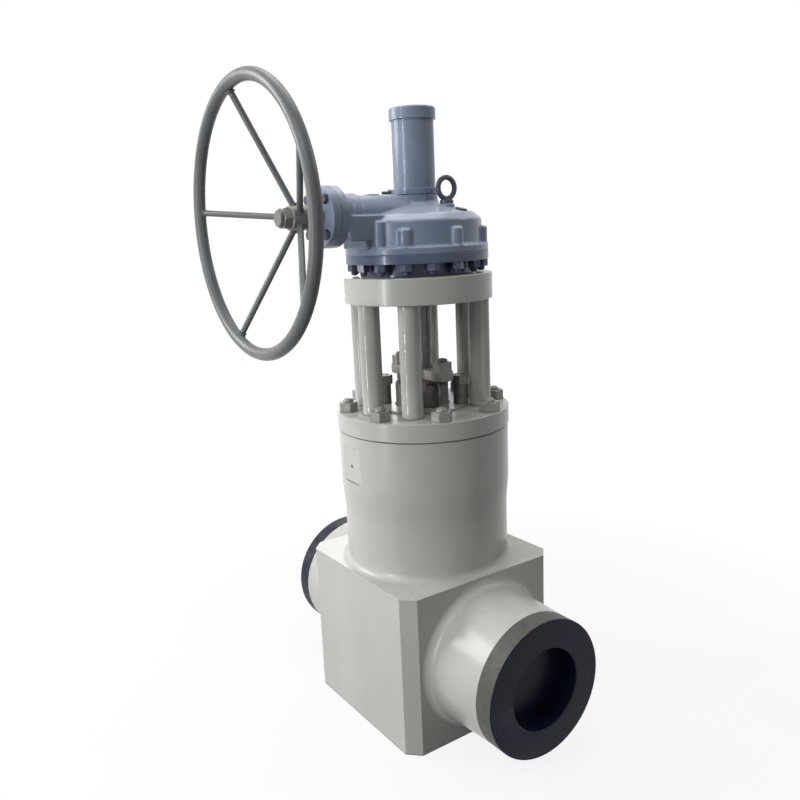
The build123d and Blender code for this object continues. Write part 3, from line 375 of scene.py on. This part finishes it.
def wheel_paint(name, tone, shade):
    paint = Finish(name, IOR=1.5, Specular_IOR_Level=0.24)
    drift = paint.noise(9.0, 3.0).between(0.3, 0.7)
    coat = paint.colour(drift, screen(*tone), screen(*shade))
    worn = paint.noise(34.0, 5.0, 0.7).between(0.62, 0.74)
    coat = paint.colour(worn * 0.2, coat, rubbed_grey)
    # Corners, where spokes meet rim and hub, are darkened: painted shade.
    corner_shade = paint.crevice(0.01)
    coat = paint.colour(corner_shade * 0.7, coat, wheel_corner_shade)
    paint.set(Base_Color=coat, Roughness=drift * 0.05 + 0.30 - worn * 0.03)
    paint.bump((paint.noise(22.0, 1.0), 0.0002))
    return paint.material


keep("wheel_paint", wheel_paint, tone=(108, 111, 113), shade=(97, 100, 102))
# The hub and its nut get a paler copy of the grey: painted light, since they sit in shade.
keep("hub_paint", wheel_paint, tone=(146, 148, 144), shade=(134, 136, 132))

# %% [markdown]
# ## Studs, nuts and the stem
# Some studs and nuts were sprayed along with the body, and others wear a dark coating. Both are
# rubbed through in places. The stem and the gland's studs are steel under a dull film of grease,
# which shows as a soft grey and not as a mirror, so they are made the same way.

# %% Coated steel
bolt_corner_shade = screen(30, 30, 30)


def coated_steel(name, tone, shade):
    coat = Finish(name)
    drift = coat.noise(45.0, 4.0, 0.6).between(0.3, 0.7)
    colour = coat.colour(drift, screen(*tone), screen(*shade))
    rubbed = coat.noise(130.0, 4.0, 0.7).between(0.60, 0.72)
    colour = coat.colour(rubbed * 0.3, colour, paler(tone, 45))
    # Corners are darkened toward near black: painted shade.
    corner_shade = coat.crevice(0.008)
    colour = coat.colour(corner_shade * 0.6, colour, bolt_corner_shade)
    coat.set(Base_Color=colour, Roughness=drift * 0.15 + 0.30, Coat_Weight=rubbed * 0.15)
    coat.bump((coat.noise(220.0, 3.0), 0.0002))
    return coat.material


keep("flange_bolts", coated_steel, tone=(152, 151, 147), shade=(134, 133, 129))
keep("dark_bolts", coated_steel, tone=(56, 61, 77), shade=(42, 47, 61))
keep("dark_steel", coated_steel, tone=(130, 127, 121), shade=(115, 112, 107))
keep("greased_steel", coated_steel, tone=(112, 110, 107), shade=(98, 96, 93))

# %% [markdown]
# ## Bare metal inside
# Inner pieces are given real finishes as well, since they show as soon as the valve is opened up.
# The lathe and the grinder leave fine rings round Z, which is a noise stretched very wide in X
# and Y. Over them lies a thin uneven film of oil, and on the bronze a brown stain.

# %% Turned steel and bronze
oil_darkens = 0.78
steel_corner_shade = screen(40, 38, 34)
turned_rings = (0.02, 0.02, 1)


def turned_steel(name, tone, rough, lines):
    steel = Finish(name, Metallic=1.0)
    rings = steel.noise(lines, 2.0, place=steel.stretched(*turned_rings))
    film = steel.noise(22.0, 4.0, 0.6).between(0.35, 0.7)
    oiled = screen(*[int(level * oil_darkens) for level in tone])
    colour = steel.colour(film, screen(*tone), oiled)
    # Corners are darkened toward a dark brown: painted shade.
    corner_shade = steel.crevice(0.01)
    colour = steel.colour(corner_shade * 0.5, colour, steel_corner_shade)
    steel.set(Base_Color=colour, Roughness=rings * 0.10 + film * 0.12 + rough)
    steel.bump((rings, 0.00005))
    return steel.material


def bronze(name, tone, stained):
    metal = Finish(name, Metallic=1.0)
    stain = metal.noise(25.0, 4.0, 0.6).between(0.35, 0.7)
    metal.set(Base_Color=metal.colour(stain, screen(*tone), screen(*stained)),
              Roughness=stain * 0.15 + 0.25)
    rings = metal.noise(700.0, 2.0, place=metal.stretched(*turned_rings))
    metal.bump((rings, 0.00005))
    return metal.material


keep("bright_steel", turned_steel, tone=(150, 150, 148), rough=0.28, lines=900.0)
keep("gear_steel", turned_steel, tone=(140, 138, 132), rough=0.34, lines=500.0)
keep("bronze", bronze, tone=(196, 160, 98), stained=(150, 116, 66))

# %% [markdown]
# ## Packing, rubber and the caps
# Graphite packing and seal rubber are dull and dark, with a fine grain. The push-on caps are a
# thick navy-black plastic, scuffed all over and dusty on the skirt. The skirt is told from the
# dished face by two things: it lies far from the pipe's axis, and it doesn't look along it. The
# near cap, at +X, gets a grey veil on its skirt that the far one lacks: painted light, for the
# lamp that falls on the near skirt.

# %% Soft and moulded finishes
pipe_height = 0.214
skirt_from = (0.14, 0.15)
skirt_looks_along = (0.25, 0.6)
painted_light_sides = (-0.2, 0.2)
cap_dust_and_light = screen(104, 104, 97)
cap_scuffs = screen(92, 98, 110)


def soft_black(name, tone, grains):
    soft = Finish(name)
    grain = soft.noise(grains, 3.0)
    soft.set(Base_Color=soft.colour(grain, screen(*tone), paler(tone, 16)),
             Roughness=grain * 0.2 + 0.55)
    soft.bump((grain, 0.0002))
    return soft.material


def cap_skirt(plastic):
    """1 on the outside of a cap's skirt, 0 on its face."""
    off_centre = plastic.vectors("SUBTRACT", plastic.place, (0, 0, pipe_height))
    from_axis = plastic.vectors("MULTIPLY", off_centre, (0, 1, 1))
    outside = plastic.vectors("LENGTH", from_axis, out="Value").between(*skirt_from)
    along_pipe = abs(plastic.part(plastic.facing, "X"))
    return outside * (1 - along_pipe.between(*skirt_looks_along))


def cap_plastic(name, tone, shade):
    plastic = Finish(name, IOR=1.48, Specular_IOR_Level=0.16)
    drift = plastic.noise(12.0, 3.0).between(0.3, 0.7)
    colour = plastic.colour(drift, screen(*tone), screen(*shade))
    skirt = cap_skirt(plastic)
    dust = skirt * plastic.noise(55.0, 4.0, 0.65).between(0.25, 0.75)
    # The skirt is mixed toward grey, more at +X than at -X: painted light on the near skirt, with
    # real dust patches added.
    painted_skirt_light = plastic.part(plastic.place, "X").between(*painted_light_sides) * 0.56 + 0.02
    colour = plastic.colour(skirt * painted_skirt_light + dust * 0.22, colour, cap_dust_and_light)
    scratched = plastic.stretched(1, 0.3, 0.3)
    scuffs = plastic.noise(70.0, 5.0, 0.75, place=scratched).between(0.62, 0.72)
    colour = plastic.colour(scuffs * 0.12, colour, cap_scuffs)
    plastic.set(Base_Color=colour, Roughness=skirt * 0.16 + scuffs * 0.15 + 0.34)
    plastic.bump((plastic.noise(38.0, 2.0), 0.0006), (plastic.noise(420.0, 3.0), 0.0001))
    return plastic.material


keep("packing", soft_black, tone=(38, 38, 40), grains=600.0)
keep("seal_rubber", soft_black, tone=(24, 24, 25), grains=300.0)
keep("cap_plastic", cap_plastic, tone=(20, 26, 50), shade=(12, 17, 38))

# %% [markdown]
# ## Rounded edges
# Most solids already have the right form, so they stay, and only get their finish. Their edges
# are knife sharp, though, and no real edge is: paint rounds it and it catches the light. A Bevel
# modifier does that without touching the mesh. The imported faces are split along hard edges, so
# a Weld comes first, or the bevel would find no shared edge to round.

# %% Edges
sharp_angle = math.radians(28)
turning_angle = math.radians(3)
same_point = 0.00002
edge_digits = 5
edge_segments = 2


def mark_turns(mesh):
    """Marks the edges where the solid's own surface turns, and leaves the seams of round faces."""
    sides = {}
    for polygon in mesh.polygons:
        corners = list(polygon.loop_indices)
        for corner, after in zip(corners, corners[1:] + corners[:1]):
            edge = mesh.edges[mesh.loops[corner].edge_index]
            ends = frozenset(tuple(round(c, edge_digits) for c in mesh.vertices[v].co)
                             for v in edge.vertices)
            facing = mesh.corner_normals[corner].vector + mesh.corner_normals[after].vector
            sides.setdefault(ends, []).append((edge, facing))
    for meeting in sides.values():
        turn = max(meeting[0][1].angle(facing, 0.0) for edge, facing in meeting)
        for edge, facing in meeting:
            edge.use_edge_sharp = turn > turning_angle


def round_edges(thing, width):
    """Rounds every sharp edge by the same small width."""
    weld = thing.modifiers.new("weld", "WELD")
    weld.merge_threshold = same_point
    bevel = thing.modifiers.new("edges", "BEVEL")
    bevel.limit_method = "ANGLE"
    bevel.angle_limit = sharp_angle
    bevel.width = width
    bevel.segments = edge_segments
    bevel.use_clamp_overlap = True
    bevel.harden_normals = True


def soften(thing, width):
    """Shades a solid smoothly but for its own turns, and rounds its edges."""
    mark_turns(thing.data)
    for polygon in thing.data.polygons:
        polygon.use_smooth = True
    round_edges(thing, width)


print("edges sharper than", round(math.degrees(sharp_angle)), "degrees are rounded")

# %% [markdown]
# ## Dressing the solids
# The record gives each solid a slot, which is also the name of its finish here. Where the
# photograph shows another tone on a piece, the second table gives it a finish of its own. The
# first table holds the pieces whose edges are rounder or finer than the rest.

# %% Dress the solids
default_edge = 0.0012
edge_widths = {
    "valve_body": 0.0022, "gearbox_casing": 0.0016, "gearbox_adaptor": 0.001,
    "gland_flange": 0.0025, "gland_nuts": 0.0007, "casing_nuts": 0.0006,
    "input_cover_bolts": 0.0005, "cover_lock_screw": 0.0004, "handwheel_spokes": 0.0003,
    "bevel_gear": 0.0003, "bevel_pinion": 0.0003,
}
# Some finishes here are copies that stand for light and shade: the gearbox's base and the pieces
# under it get darker ones, painted shade, and the hub a paler one, painted light.
own_finish = {
    "gland_flange": "flange_bolts", "gland_nuts": "flange_bolts", "flange_studs": "flange_bolts",
    "flange_nuts": "flange_bolts", "take_up_nuts": "dark_steel", "bonnet": "dark_steel",
    "stem": "greased_steel", "input_shaft": "greased_steel", "input_cover": "tube_paint",
    "stem_cover_tube": "tube_paint", "stem_cover_cap": "tube_paint", "gearbox_base": "gear_low",
    "gearbox_adaptor": "gear_deep", "casing_nuts": "gear_deep", "casing_studs": "gear_deep",
    "handwheel_hub": "hub_paint", "wheel_nut": "hub_paint",
}
for node in nodes:
    if node.startswith("yoke_pillar"):
        own_finish[node] = "bar_paint"


def slot_of(node):
    return next(s["material_slot"] for s in frame["record"]["subparts"] if s["node"] == node)


def dress(node, finish):
    thing = nodes[node]
    thing.data.materials.clear()
    thing.data.materials.append(finishes[finish])
    soften(thing, edge_widths.get(node, default_edge))


for node in sorted(nodes):
    dress(node, own_finish.get(node, slot_of(node)))
print("dressed", len(nodes), "solids,", len(own_finish), "with a finish of their own")

# %% [markdown]
# ## Making pieces of mesh
# Some forms are worth more than a solid gives: a thread, a weld, a casting's soft corners. Each
# is made in mesh code below. All of them need the same few steps. The solids' places are read
# from their own meshes, ring after ring of points is joined into a skin, and the finished piece
# is given the body that carries it and the finish it wears, while the node it stands for is hidden.

# %% Helpers for mesh pieces
no_length = 0.00001


def middle(points):
    low = Vector([min(point[k] for point in points) for k in range(3)])
    high = Vector([max(point[k] for point in points) for k in range(3)])
    return (low + high) / 2


def joined_points(node):
    """The corner points of each separate solid in a node, in order round the stem's axis."""
    shape = bmesh.new()
    shape.from_mesh(nodes[node].data)
    bmesh.ops.remove_doubles(shape, verts=shape.verts, dist=same_point)
    left = set(shape.verts)
    found = []
    while left:
        growing = [left.pop()]
        points = []
        while growing:
            vertex = growing.pop()
            points.append(vertex.co.copy())
            for edge in vertex.link_edges:
                other = edge.other_vert(vertex)
                if other in left:
                    left.remove(other)
                    growing.append(other)
        found.append(sorted(points, key=tuple))
    shape.free()
    return sorted(found, key=lambda points: math.atan2(*middle(points).yx))


def skin(shape, rings, closed=False):
    """Joins rings of points, each as long as the next, and closes both ends or the loop."""
    rows = [[shape.verts.new(point) for point in ring] for ring in rings]
    following = rows[1:] + rows[:1] if closed else rows[1:]
    for below, above in zip(rows, following):
        for k in range(len(below)):
            after = (k + 1) % len(below)
            shape.faces.new((below[k], below[after], above[after], above[k]))
    if not closed:
        shape.faces.new(reversed(rows[0]))
        shape.faces.new(rows[-1])


def placed_piece(name, mesh, body, slot, finish, *replaced):
    mesh.materials.clear()
    mesh.materials.append(finishes[finish])
    mesh.shade_smooth()
    piece = bpy.data.objects.new(name, mesh)
    bpy.context.scene.collection.objects.link(piece)
    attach(piece, body)
    if replaced:
        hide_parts(*replaced)
    print(name, "has", len(mesh.polygons), "faces")
    return piece


def finished_piece(name, shape, body, slot, finish, *replaced):
    bmesh.ops.dissolve_degenerate(shape, edges=shape.edges, dist=no_length)
    bmesh.ops.recalc_face_normals(shape, faces=shape.faces)
    mesh = bpy.data.meshes.new(name)
    shape.to_mesh(mesh)
    shape.free()
    return placed_piece(name, mesh, body, slot, finish, *replaced)


print("separate studs in the flange:", len(joined_points("flange_studs")))

# %% [markdown]
# ## Threaded studs
# A stud is a rod with a rolled thread, and its end is turned to a low dome so that the first
# thread is never the part that gets knocked. The thread is a helix. Its rows are laid out one
# quarter of a pitch apart and climb by one pitch a turn, and the radius goes crest, flank, root,
# flank from row to row. That makes a true helix with no twisting or cutting.

# %% Studs
around_stud = 24
thread_wave = (0.0, 0.5, 1.0, 0.5)
depth_of_pitch = 0.55
dome_steps = (25, 50, 72)


def add_stud(shape, points, thread_from, pitch, dome):
    centre = middle(points)
    low, high = (pick(point.z for point in points) for pick in (min, max))
    radius = max(point.x for point in points) - centre.x
    shoulder = high - dome
    root = radius - depth_of_pitch * pitch
    turns = [2 * math.pi * k / around_stud for k in range(around_stud)]

    def ring(place):
        spots = [place(turn) for turn in turns]
        return [(centre.x + r * math.cos(turn), centre.y + r * math.sin(turn), z)
                for turn, (r, z) in zip(turns, spots)]

    def thread(row):
        def place(turn):
            z = thread_from + (row / len(thread_wave) + turn / (2 * math.pi)) * pitch
            if z >= shoulder:
                return root, shoulder
            return radius - (radius - root) * thread_wave[row % len(thread_wave)], z
        return place

    rings = [ring(lambda turn: (radius, low)), ring(lambda turn: (radius, thread_from))]
    rows = int((shoulder - thread_from) / pitch * len(thread_wave))
    rings += [ring(thread(row)) for row in range(1, rows + 1)]
    rings.append(ring(lambda turn: (root, shoulder)))
    for step in dome_steps:
        rise = math.radians(step)
        rings.append(ring(lambda turn: (root * math.cos(rise), shoulder + dome * math.sin(rise))))
    skin(shape, rings)


def make_studs(node, finish, thread_length, pitch, dome):
    shape = bmesh.new()
    for points in joined_points(node):
        top = max(point.z for point in points)
        add_stud(shape, points, top - thread_length, pitch, dome)
    finished_piece("threaded_" + node, shape, "valve", slot_of(node), finish, node)


make_studs("flange_studs", "flange_bolts", thread_length=0.040, pitch=0.0035, dome=0.006)
make_studs("gland_studs", "greased_steel", thread_length=0.125, pitch=0.003, dome=0.004)
make_studs("take_up_studs", "dark_steel", thread_length=0.070, pitch=0.0025, dome=0.003)

# %% [markdown]
# ## Studs that hang
# The studs that hold the gearbox casing on its base hang down from it. Their threaded ends reach
# past the nuts, almost to the yoke plate. The same function makes them, standing on their heads:
# each stud's points are turned over, the tip is set, and the finished skin is turned back.

# %% Hanging studs
end_gap = 0.004
hanging_thread = 0.030
hanging_pitch = 0.003
hanging_dome = 0.003


def turned_over(point):
    """Half a turn about X, which keeps a right-hand thread right-handed."""
    return Vector((point.x, -point.y, -point.z))


def make_hanging_studs(node, finish):
    shape = bmesh.new()
    end = -(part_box("yoke_plate")[1][2] + end_gap)
    for points in joined_points(node):
        standing = [turned_over(point) for point in points]
        tip = middle(standing)
        tip.z = end
        add_stud(shape, standing + [tip], end - hanging_thread, hanging_pitch, hanging_dome)
    for vertex in shape.verts:
        vertex.co = turned_over(vertex.co)
    finished_piece("threaded_" + node, shape, "valve", slot_of(node), finish, node)


# The hanging studs wear the darker copy of the gearbox paint: painted shade.
make_hanging_studs("casing_studs", "gear_deep")

# %% [markdown]
# ## Castings
# The gearbox casing and the lifting eye are cast or forged: where a lug meets the wall the metal
# flows, and no corner is sharp. Filleting each meeting by hand would take long. Here a copy of
# the solid is cut into small even cells by a voxel remesh and then relaxed a few times, which
# rounds outer corners and fills inner ones by about the size of a cell, as sand and slag do.
# The shelf beside the pinion housing is only a block that goes into the same melt.

# %% Casing and lifting eye
shelf_half_width = 0.067
shelf_drop = 0.060
shelf_start = -0.100
housing_flange_depth = 0.022
relax_share = 0.5


def housing_shelf():
    """The shelf beside the pinion housing, from the casing's wall out to the flange."""
    cover_low, cover_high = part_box("input_cover")
    shelf_end = cover_high[1] + housing_flange_depth
    top = (cover_low[2] + cover_high[2]) / 2
    left, right = -shelf_half_width, shelf_half_width
    corners = [(left, shelf_end), (right, shelf_end), (right, shelf_start), (left, shelf_start)]
    shape = bmesh.new()
    skin(shape, [[(x, y, z) for x, y in corners] for z in (top - shelf_drop, top)])
    mesh = bpy.data.meshes.new("shelf")
    shape.to_mesh(mesh)
    shape.free()
    return mesh


def cast_copy(node, finish, cell, rounds, addition=None):
    shape = bmesh.new()
    shape.from_mesh(nodes[node].data)
    if addition:
        shape.from_mesh(addition)
    rough_mesh = bpy.data.meshes.new("rough_" + node)
    shape.to_mesh(rough_mesh)
    shape.free()
    rough = bpy.data.objects.new("rough_" + node, rough_mesh)
    bpy.context.scene.collection.objects.link(rough)
    remesh = rough.modifiers.new("cells", "REMESH")
    remesh.mode = "VOXEL"
    remesh.voxel_size = cell
    relax = rough.modifiers.new("relax", "SMOOTH")
    relax.factor = relax_share
    relax.iterations = rounds
    bpy.context.view_layer.update()
    relaxed = rough.evaluated_get(bpy.context.evaluated_depsgraph_get())
    mesh = bpy.data.meshes.new_from_object(relaxed)
    mesh.name = "cast_" + node
    bpy.data.objects.remove(rough)
    placed_piece("cast_" + node, mesh, "valve", slot_of(node), finish, node)


cast_copy("gearbox_casing", "gear_paint", cell=0.0022, rounds=4, addition=housing_shelf())
cast_copy("lifting_eye", "eye_paint", cell=0.0010, rounds=6)

# %% [markdown]
# ## The body's neck
# The neck's head is a few millimetres wider than its shaft, and the smith's hammer left that
# step soft, with no line to be seen. The solid has a plain cone there. On a copy of the body the
# band is cut into thin rings, whose radius then follows a smooth curve from one width to the
# other. The flat with its small hole gets rounded sides too, or its border would be a hard line.

# %% Soft step and flat
neck_head_height = 0.138
neck_step_rise = 0.020
step_reach_below = 0.075
step_reach_above = 0.008
step_rings = 13
level_slack = 0.0001
outer_skin_radius = 0.21
flat_border = (math.radians(5), math.radians(25))
flat_border_width = 0.007
flat_border_segments = 4


def smooth_rise(share):
    share = min(1, max(0, share))
    return share * share * (3 - 2 * share)


def blend_step(shape, low, high):
    """Gives the outer skin between two heights one smooth profile instead of a cone."""
    for k in range(step_rings):
        level = low + (high - low) * k / (step_rings - 1)
        everything = shape.verts[:] + shape.edges[:] + shape.faces[:]
        bmesh.ops.bisect_plane(shape, geom=everything, dist=no_length, plane_co=(0, 0, level),
                               plane_no=(0, 0, 1))
    band = [v for v in shape.verts if low - level_slack <= v.co.z <= high + level_slack
            and v.co.xy.length > outer_skin_radius]
    narrow = min(v.co.xy.length for v in band)
    wide = max(v.co.xy.length for v in band)
    for vertex in band:
        radius = narrow + (wide - narrow) * smooth_rise((vertex.co.z - low) / (high - low))
        vertex.co.xy *= radius / vertex.co.xy.length
    inside = set(band)
    for edge in shape.edges:
        if edge.verts[0] in inside and edge.verts[1] in inside:
            edge.smooth = True


def round_flat(shape, above):
    """Rounds the shallow border between the neck's flat and its round side."""
    border = [e for e in shape.edges if not e.smooth and e.is_manifold
              and min(v.co.z for v in e.verts) > above
              and min(v.co.xy.length for v in e.verts) > outer_skin_radius
              and flat_border[0] < e.calc_face_angle() < flat_border[1]]
    for edge in border:
        edge.smooth = True
    bmesh.ops.bevel(shape, geom=border, offset=flat_border_width, segments=flat_border_segments,
                    profile=0.5, affect="EDGES", clamp_overlap=True)
    print("flat border edges:", len(border))


def make_body():
    mesh = nodes["valve_body"].data.copy()
    mark_turns(mesh)
    shape = bmesh.new()
    shape.from_mesh(mesh)
    bmesh.ops.remove_doubles(shape, verts=shape.verts, dist=same_point)
    head_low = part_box("bonnet_flange")[0][2] - neck_head_height
    round_flat(shape, head_low)
    blend_step(shape, head_low - neck_step_rise - step_reach_below, head_low + step_reach_above)
    shape.to_mesh(mesh)
    shape.free()
    body = placed_piece("forged_body", mesh, "valve", "body_paint", "body_paint", "valve_body")
    round_edges(body, edge_widths["valve_body"])
    even = body.modifiers.new("even", "WEIGHTED_NORMAL")
    even.keep_sharp = True


make_body()

# %% [markdown]
# ## Welds on the handwheel
# The spokes are round bars, welded to the rim and to the hub. A weld bead is a small ring of
# overlapping ripples, so each is a ring round the spoke's end whose thickness goes up and down.
# A spoke's two ends are found from its own points: those near the hub, and those near the rim.

# %% Weld beads
bead_radius = 0.0026
bead_ripples = 11
ripple_share = 0.22
around_bead = 66
across_bead = 8


def turned(centre, along, radius, reach, turn):
    """A point at a radius and an angle round an axis, some way along it."""
    side = along.orthogonal().normalized()
    other = along.cross(side)
    return centre + along * reach + (side * math.cos(turn) + other * math.sin(turn)) * radius


def add_bead(shape, centre, along, spoke_radius):
    rings = []
    for k in range(around_bead):
        turn = 2 * math.pi * k / around_bead
        thick = bead_radius * (1 + ripple_share * math.sin(bead_ripples * turn))
        ring = []
        for j in range(across_bead):
            tilt = 2 * math.pi * j / across_bead
            ring.append(turned(centre, along, spoke_radius + thick * math.cos(tilt),
                               thick * math.sin(tilt), turn))
        rings.append(ring)
    skin(shape, rings, closed=True)


def make_spoke_welds():
    shape = bmesh.new()
    hub_low, hub_high = (Vector(corner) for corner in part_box("handwheel_hub"))
    wheel_axis = (hub_low + hub_high) / 2
    for points in joined_points("handwheel_spokes"):
        reach = [math.hypot(p.x - wheel_axis.x, p.z - wheel_axis.z) for p in points]
        halfway = (min(reach) + max(reach)) / 2
        inner = [p for p, r in zip(points, reach) if r < halfway]
        outer = [p for p, r in zip(points, reach) if r >= halfway]
        ends = [sum(side, Vector()) / len(side) for side in (inner, outer)]
        along = (ends[1] - ends[0]).normalized()
        radius = max(((p - ends[1]) - along * (p - ends[1]).dot(along)).length for p in outer)
        for end, direction in zip(ends, (along, -along)):
            add_bead(shape, end + direction * bead_radius, along, radius)
    slot = slot_of("handwheel_spokes")
    finished_piece("spoke_welds", shape, "handwheel", slot, "wheel_paint")


make_spoke_welds()

# %% [markdown]
# ## The ring under the yoke plate
# Where the stem comes out below the plate, a thin slotted ring holds the seal that keeps dirt out
# of the gearbox. It is turned from bar, and its slots take a hook spanner. Going round in even
# steps, the outer radius drops wherever a slot is.

# %% Slotted ring
ring_hole = 0.0335
ring_radius = 0.052
ring_height = 0.012
ring_edge = 0.0008
slot_depth = 0.005
slot_count = 8
steps_to_slot = 12
steps_in_slot = 3


def make_slotted_ring():
    shape = bmesh.new()
    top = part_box("yoke_plate")[0][2]
    low = top - ring_height
    rings = []
    for k in range(slot_count * steps_to_slot):
        turn = 2 * math.pi * k / (slot_count * steps_to_slot)
        outer = ring_radius - (slot_depth if k % steps_to_slot < steps_in_slot else 0)
        corners = [(ring_hole, low), (outer, low), (outer, top), (ring_hole, top)]
        rings.append([(r * math.cos(turn), r * math.sin(turn), z) for r, z in corners])
    skin(shape, rings, closed=True)
    piece = finished_piece("slotted_ring", shape, "valve", "bright_steel", "bright_steel")
    soften(piece, ring_edge)


make_slotted_ring()

# %% [markdown]
# ## The world
# A pale world keeps the shadows open, and is plain white to the camera. The Light Path node
# tells the two apart: what the camera sees straight on, or in a gloss, gets full white, and
# light that reaches the valve round corners gets only a fifth of it.

# %% World
world_fill = 0.20


class Backdrop(Finish):
    """The world's own shader, with the same way of making nodes."""

    def __init__(self, world):
        world.use_nodes = True
        self.tree = world.node_tree
        self.shader = self.tree.nodes["Background"]


def seen_directly(finish):
    """1 for a camera ray, and for what gloss and glass show of the background."""
    seen = [finish.node("LightPath", out=name) for name in
            ("Is Camera Ray", "Is Glossy Ray", "Is Transmission Ray")]
    return finish.node("Math", {"operation": "MINIMUM"}, seen[0] + seen[1] + seen[2], 1.0)


def make_world():
    world = bpy.data.worlds.new("studio")
    bpy.context.scene.world = world
    sky = Backdrop(world)
    sky.set(Color=white, Strength=seen_directly(sky) * (1 - world_fill) + world_fill)


make_world()
print("the world lights the valve at", world_fill, "of white")

# %% [markdown]
# ## The floor
# The floor is a plain dull sheet. To the camera it glows, a little less than white close to the
# valve and full white far out, so that it runs into the background and keeps only the shadow.

# %% Floor
floor_reach = 14.0
floor_colour = screen(92, 92, 92)
floor_glow_near = 0.86
floor_glow_far = 1.0
floor_blend = (0.9, 2.6)


def make_floor():
    mesh = bpy.data.meshes.new("floor")
    corners = [(-1, -1), (1, -1), (1, 1), (-1, 1)]
    mesh.from_pydata([(x * floor_reach, y * floor_reach, 0) for x, y in corners], [], [(0, 1, 2, 3)])
    floor = bpy.data.objects.new("floor", mesh)
    bpy.context.scene.collection.objects.link(floor)
    paint = Finish("floor", Base_Color=floor_colour, Roughness=0.9, Specular_IOR_Level=0.0,
                   Emission_Strength=1.0)
    away = paint.vectors("LENGTH", paint.place, out="Value")
    glow = away.between(*floor_blend) * (floor_glow_far - floor_glow_near) + floor_glow_near
    paint.set(Emission_Color=paint.colour(glow * seen_directly(paint), black, white))
    mesh.materials.append(paint.material)


make_floor()
print("the floor reaches", floor_reach, "m each way")

# %% [markdown]
# ## The lamps
# The photograph has one broad soft light from the far left, a narrow one that draws the upright
# highlights on the bars and the cover tube, and shade on the right. Each lamp is placed by its
# compass angle round the valve, because that is what a highlight on an upright bar tells: it
# sits where the surface faces halfway between lamp and camera. The weaker lamps open the shade
# on top, on the right and behind.

# %% Lamps
aim = Vector((0.0, 0.0, 0.8))
plain_light = (1, 1, 1)
warm_light = (1.0, 0.985, 0.96)


def area_lamp(name, compass, distance, height, size, power, colour=plain_light):
    """A rectangular lamp at a compass angle round the valve, turned to face it."""
    turn = math.radians(compass)
    data = bpy.data.lights.new(name, "AREA")
    data.shape = "RECTANGLE"
    data.size, data.size_y = size
    data.energy = power
    data.color = colour
    lamp = bpy.data.objects.new(name, data)
    lamp.location = (distance * math.cos(turn), distance * math.sin(turn), height)
    lamp.rotation_euler = (aim - lamp.location).to_track_quat("-Z", "Y").to_euler()
    lamp.visible_camera = False
    bpy.context.scene.collection.objects.link(lamp)
    print("lamp", name, "gives", power, "W from", compass, "degrees")


area_lamp("window", -134, distance=3.8, height=2.7, size=(1.8, 2.0), power=114, colour=warm_light)
area_lamp("strip", -87, distance=3.4, height=1.2, size=(0.10, 2.4), power=58)
area_lamp("high_fill", -62, distance=2.6, height=3.3, size=(1.4, 1.0), power=19)
area_lamp("right_fill", 64, distance=2.6, height=3.0, size=(1.2, 1.2), power=16)
area_lamp("ceiling", 150, distance=0.8, height=4.2, size=(2.4, 2.4), power=60)
area_lamp("back_window", 153, distance=3.8, height=2.0, size=(1.3, 1.1), power=18)
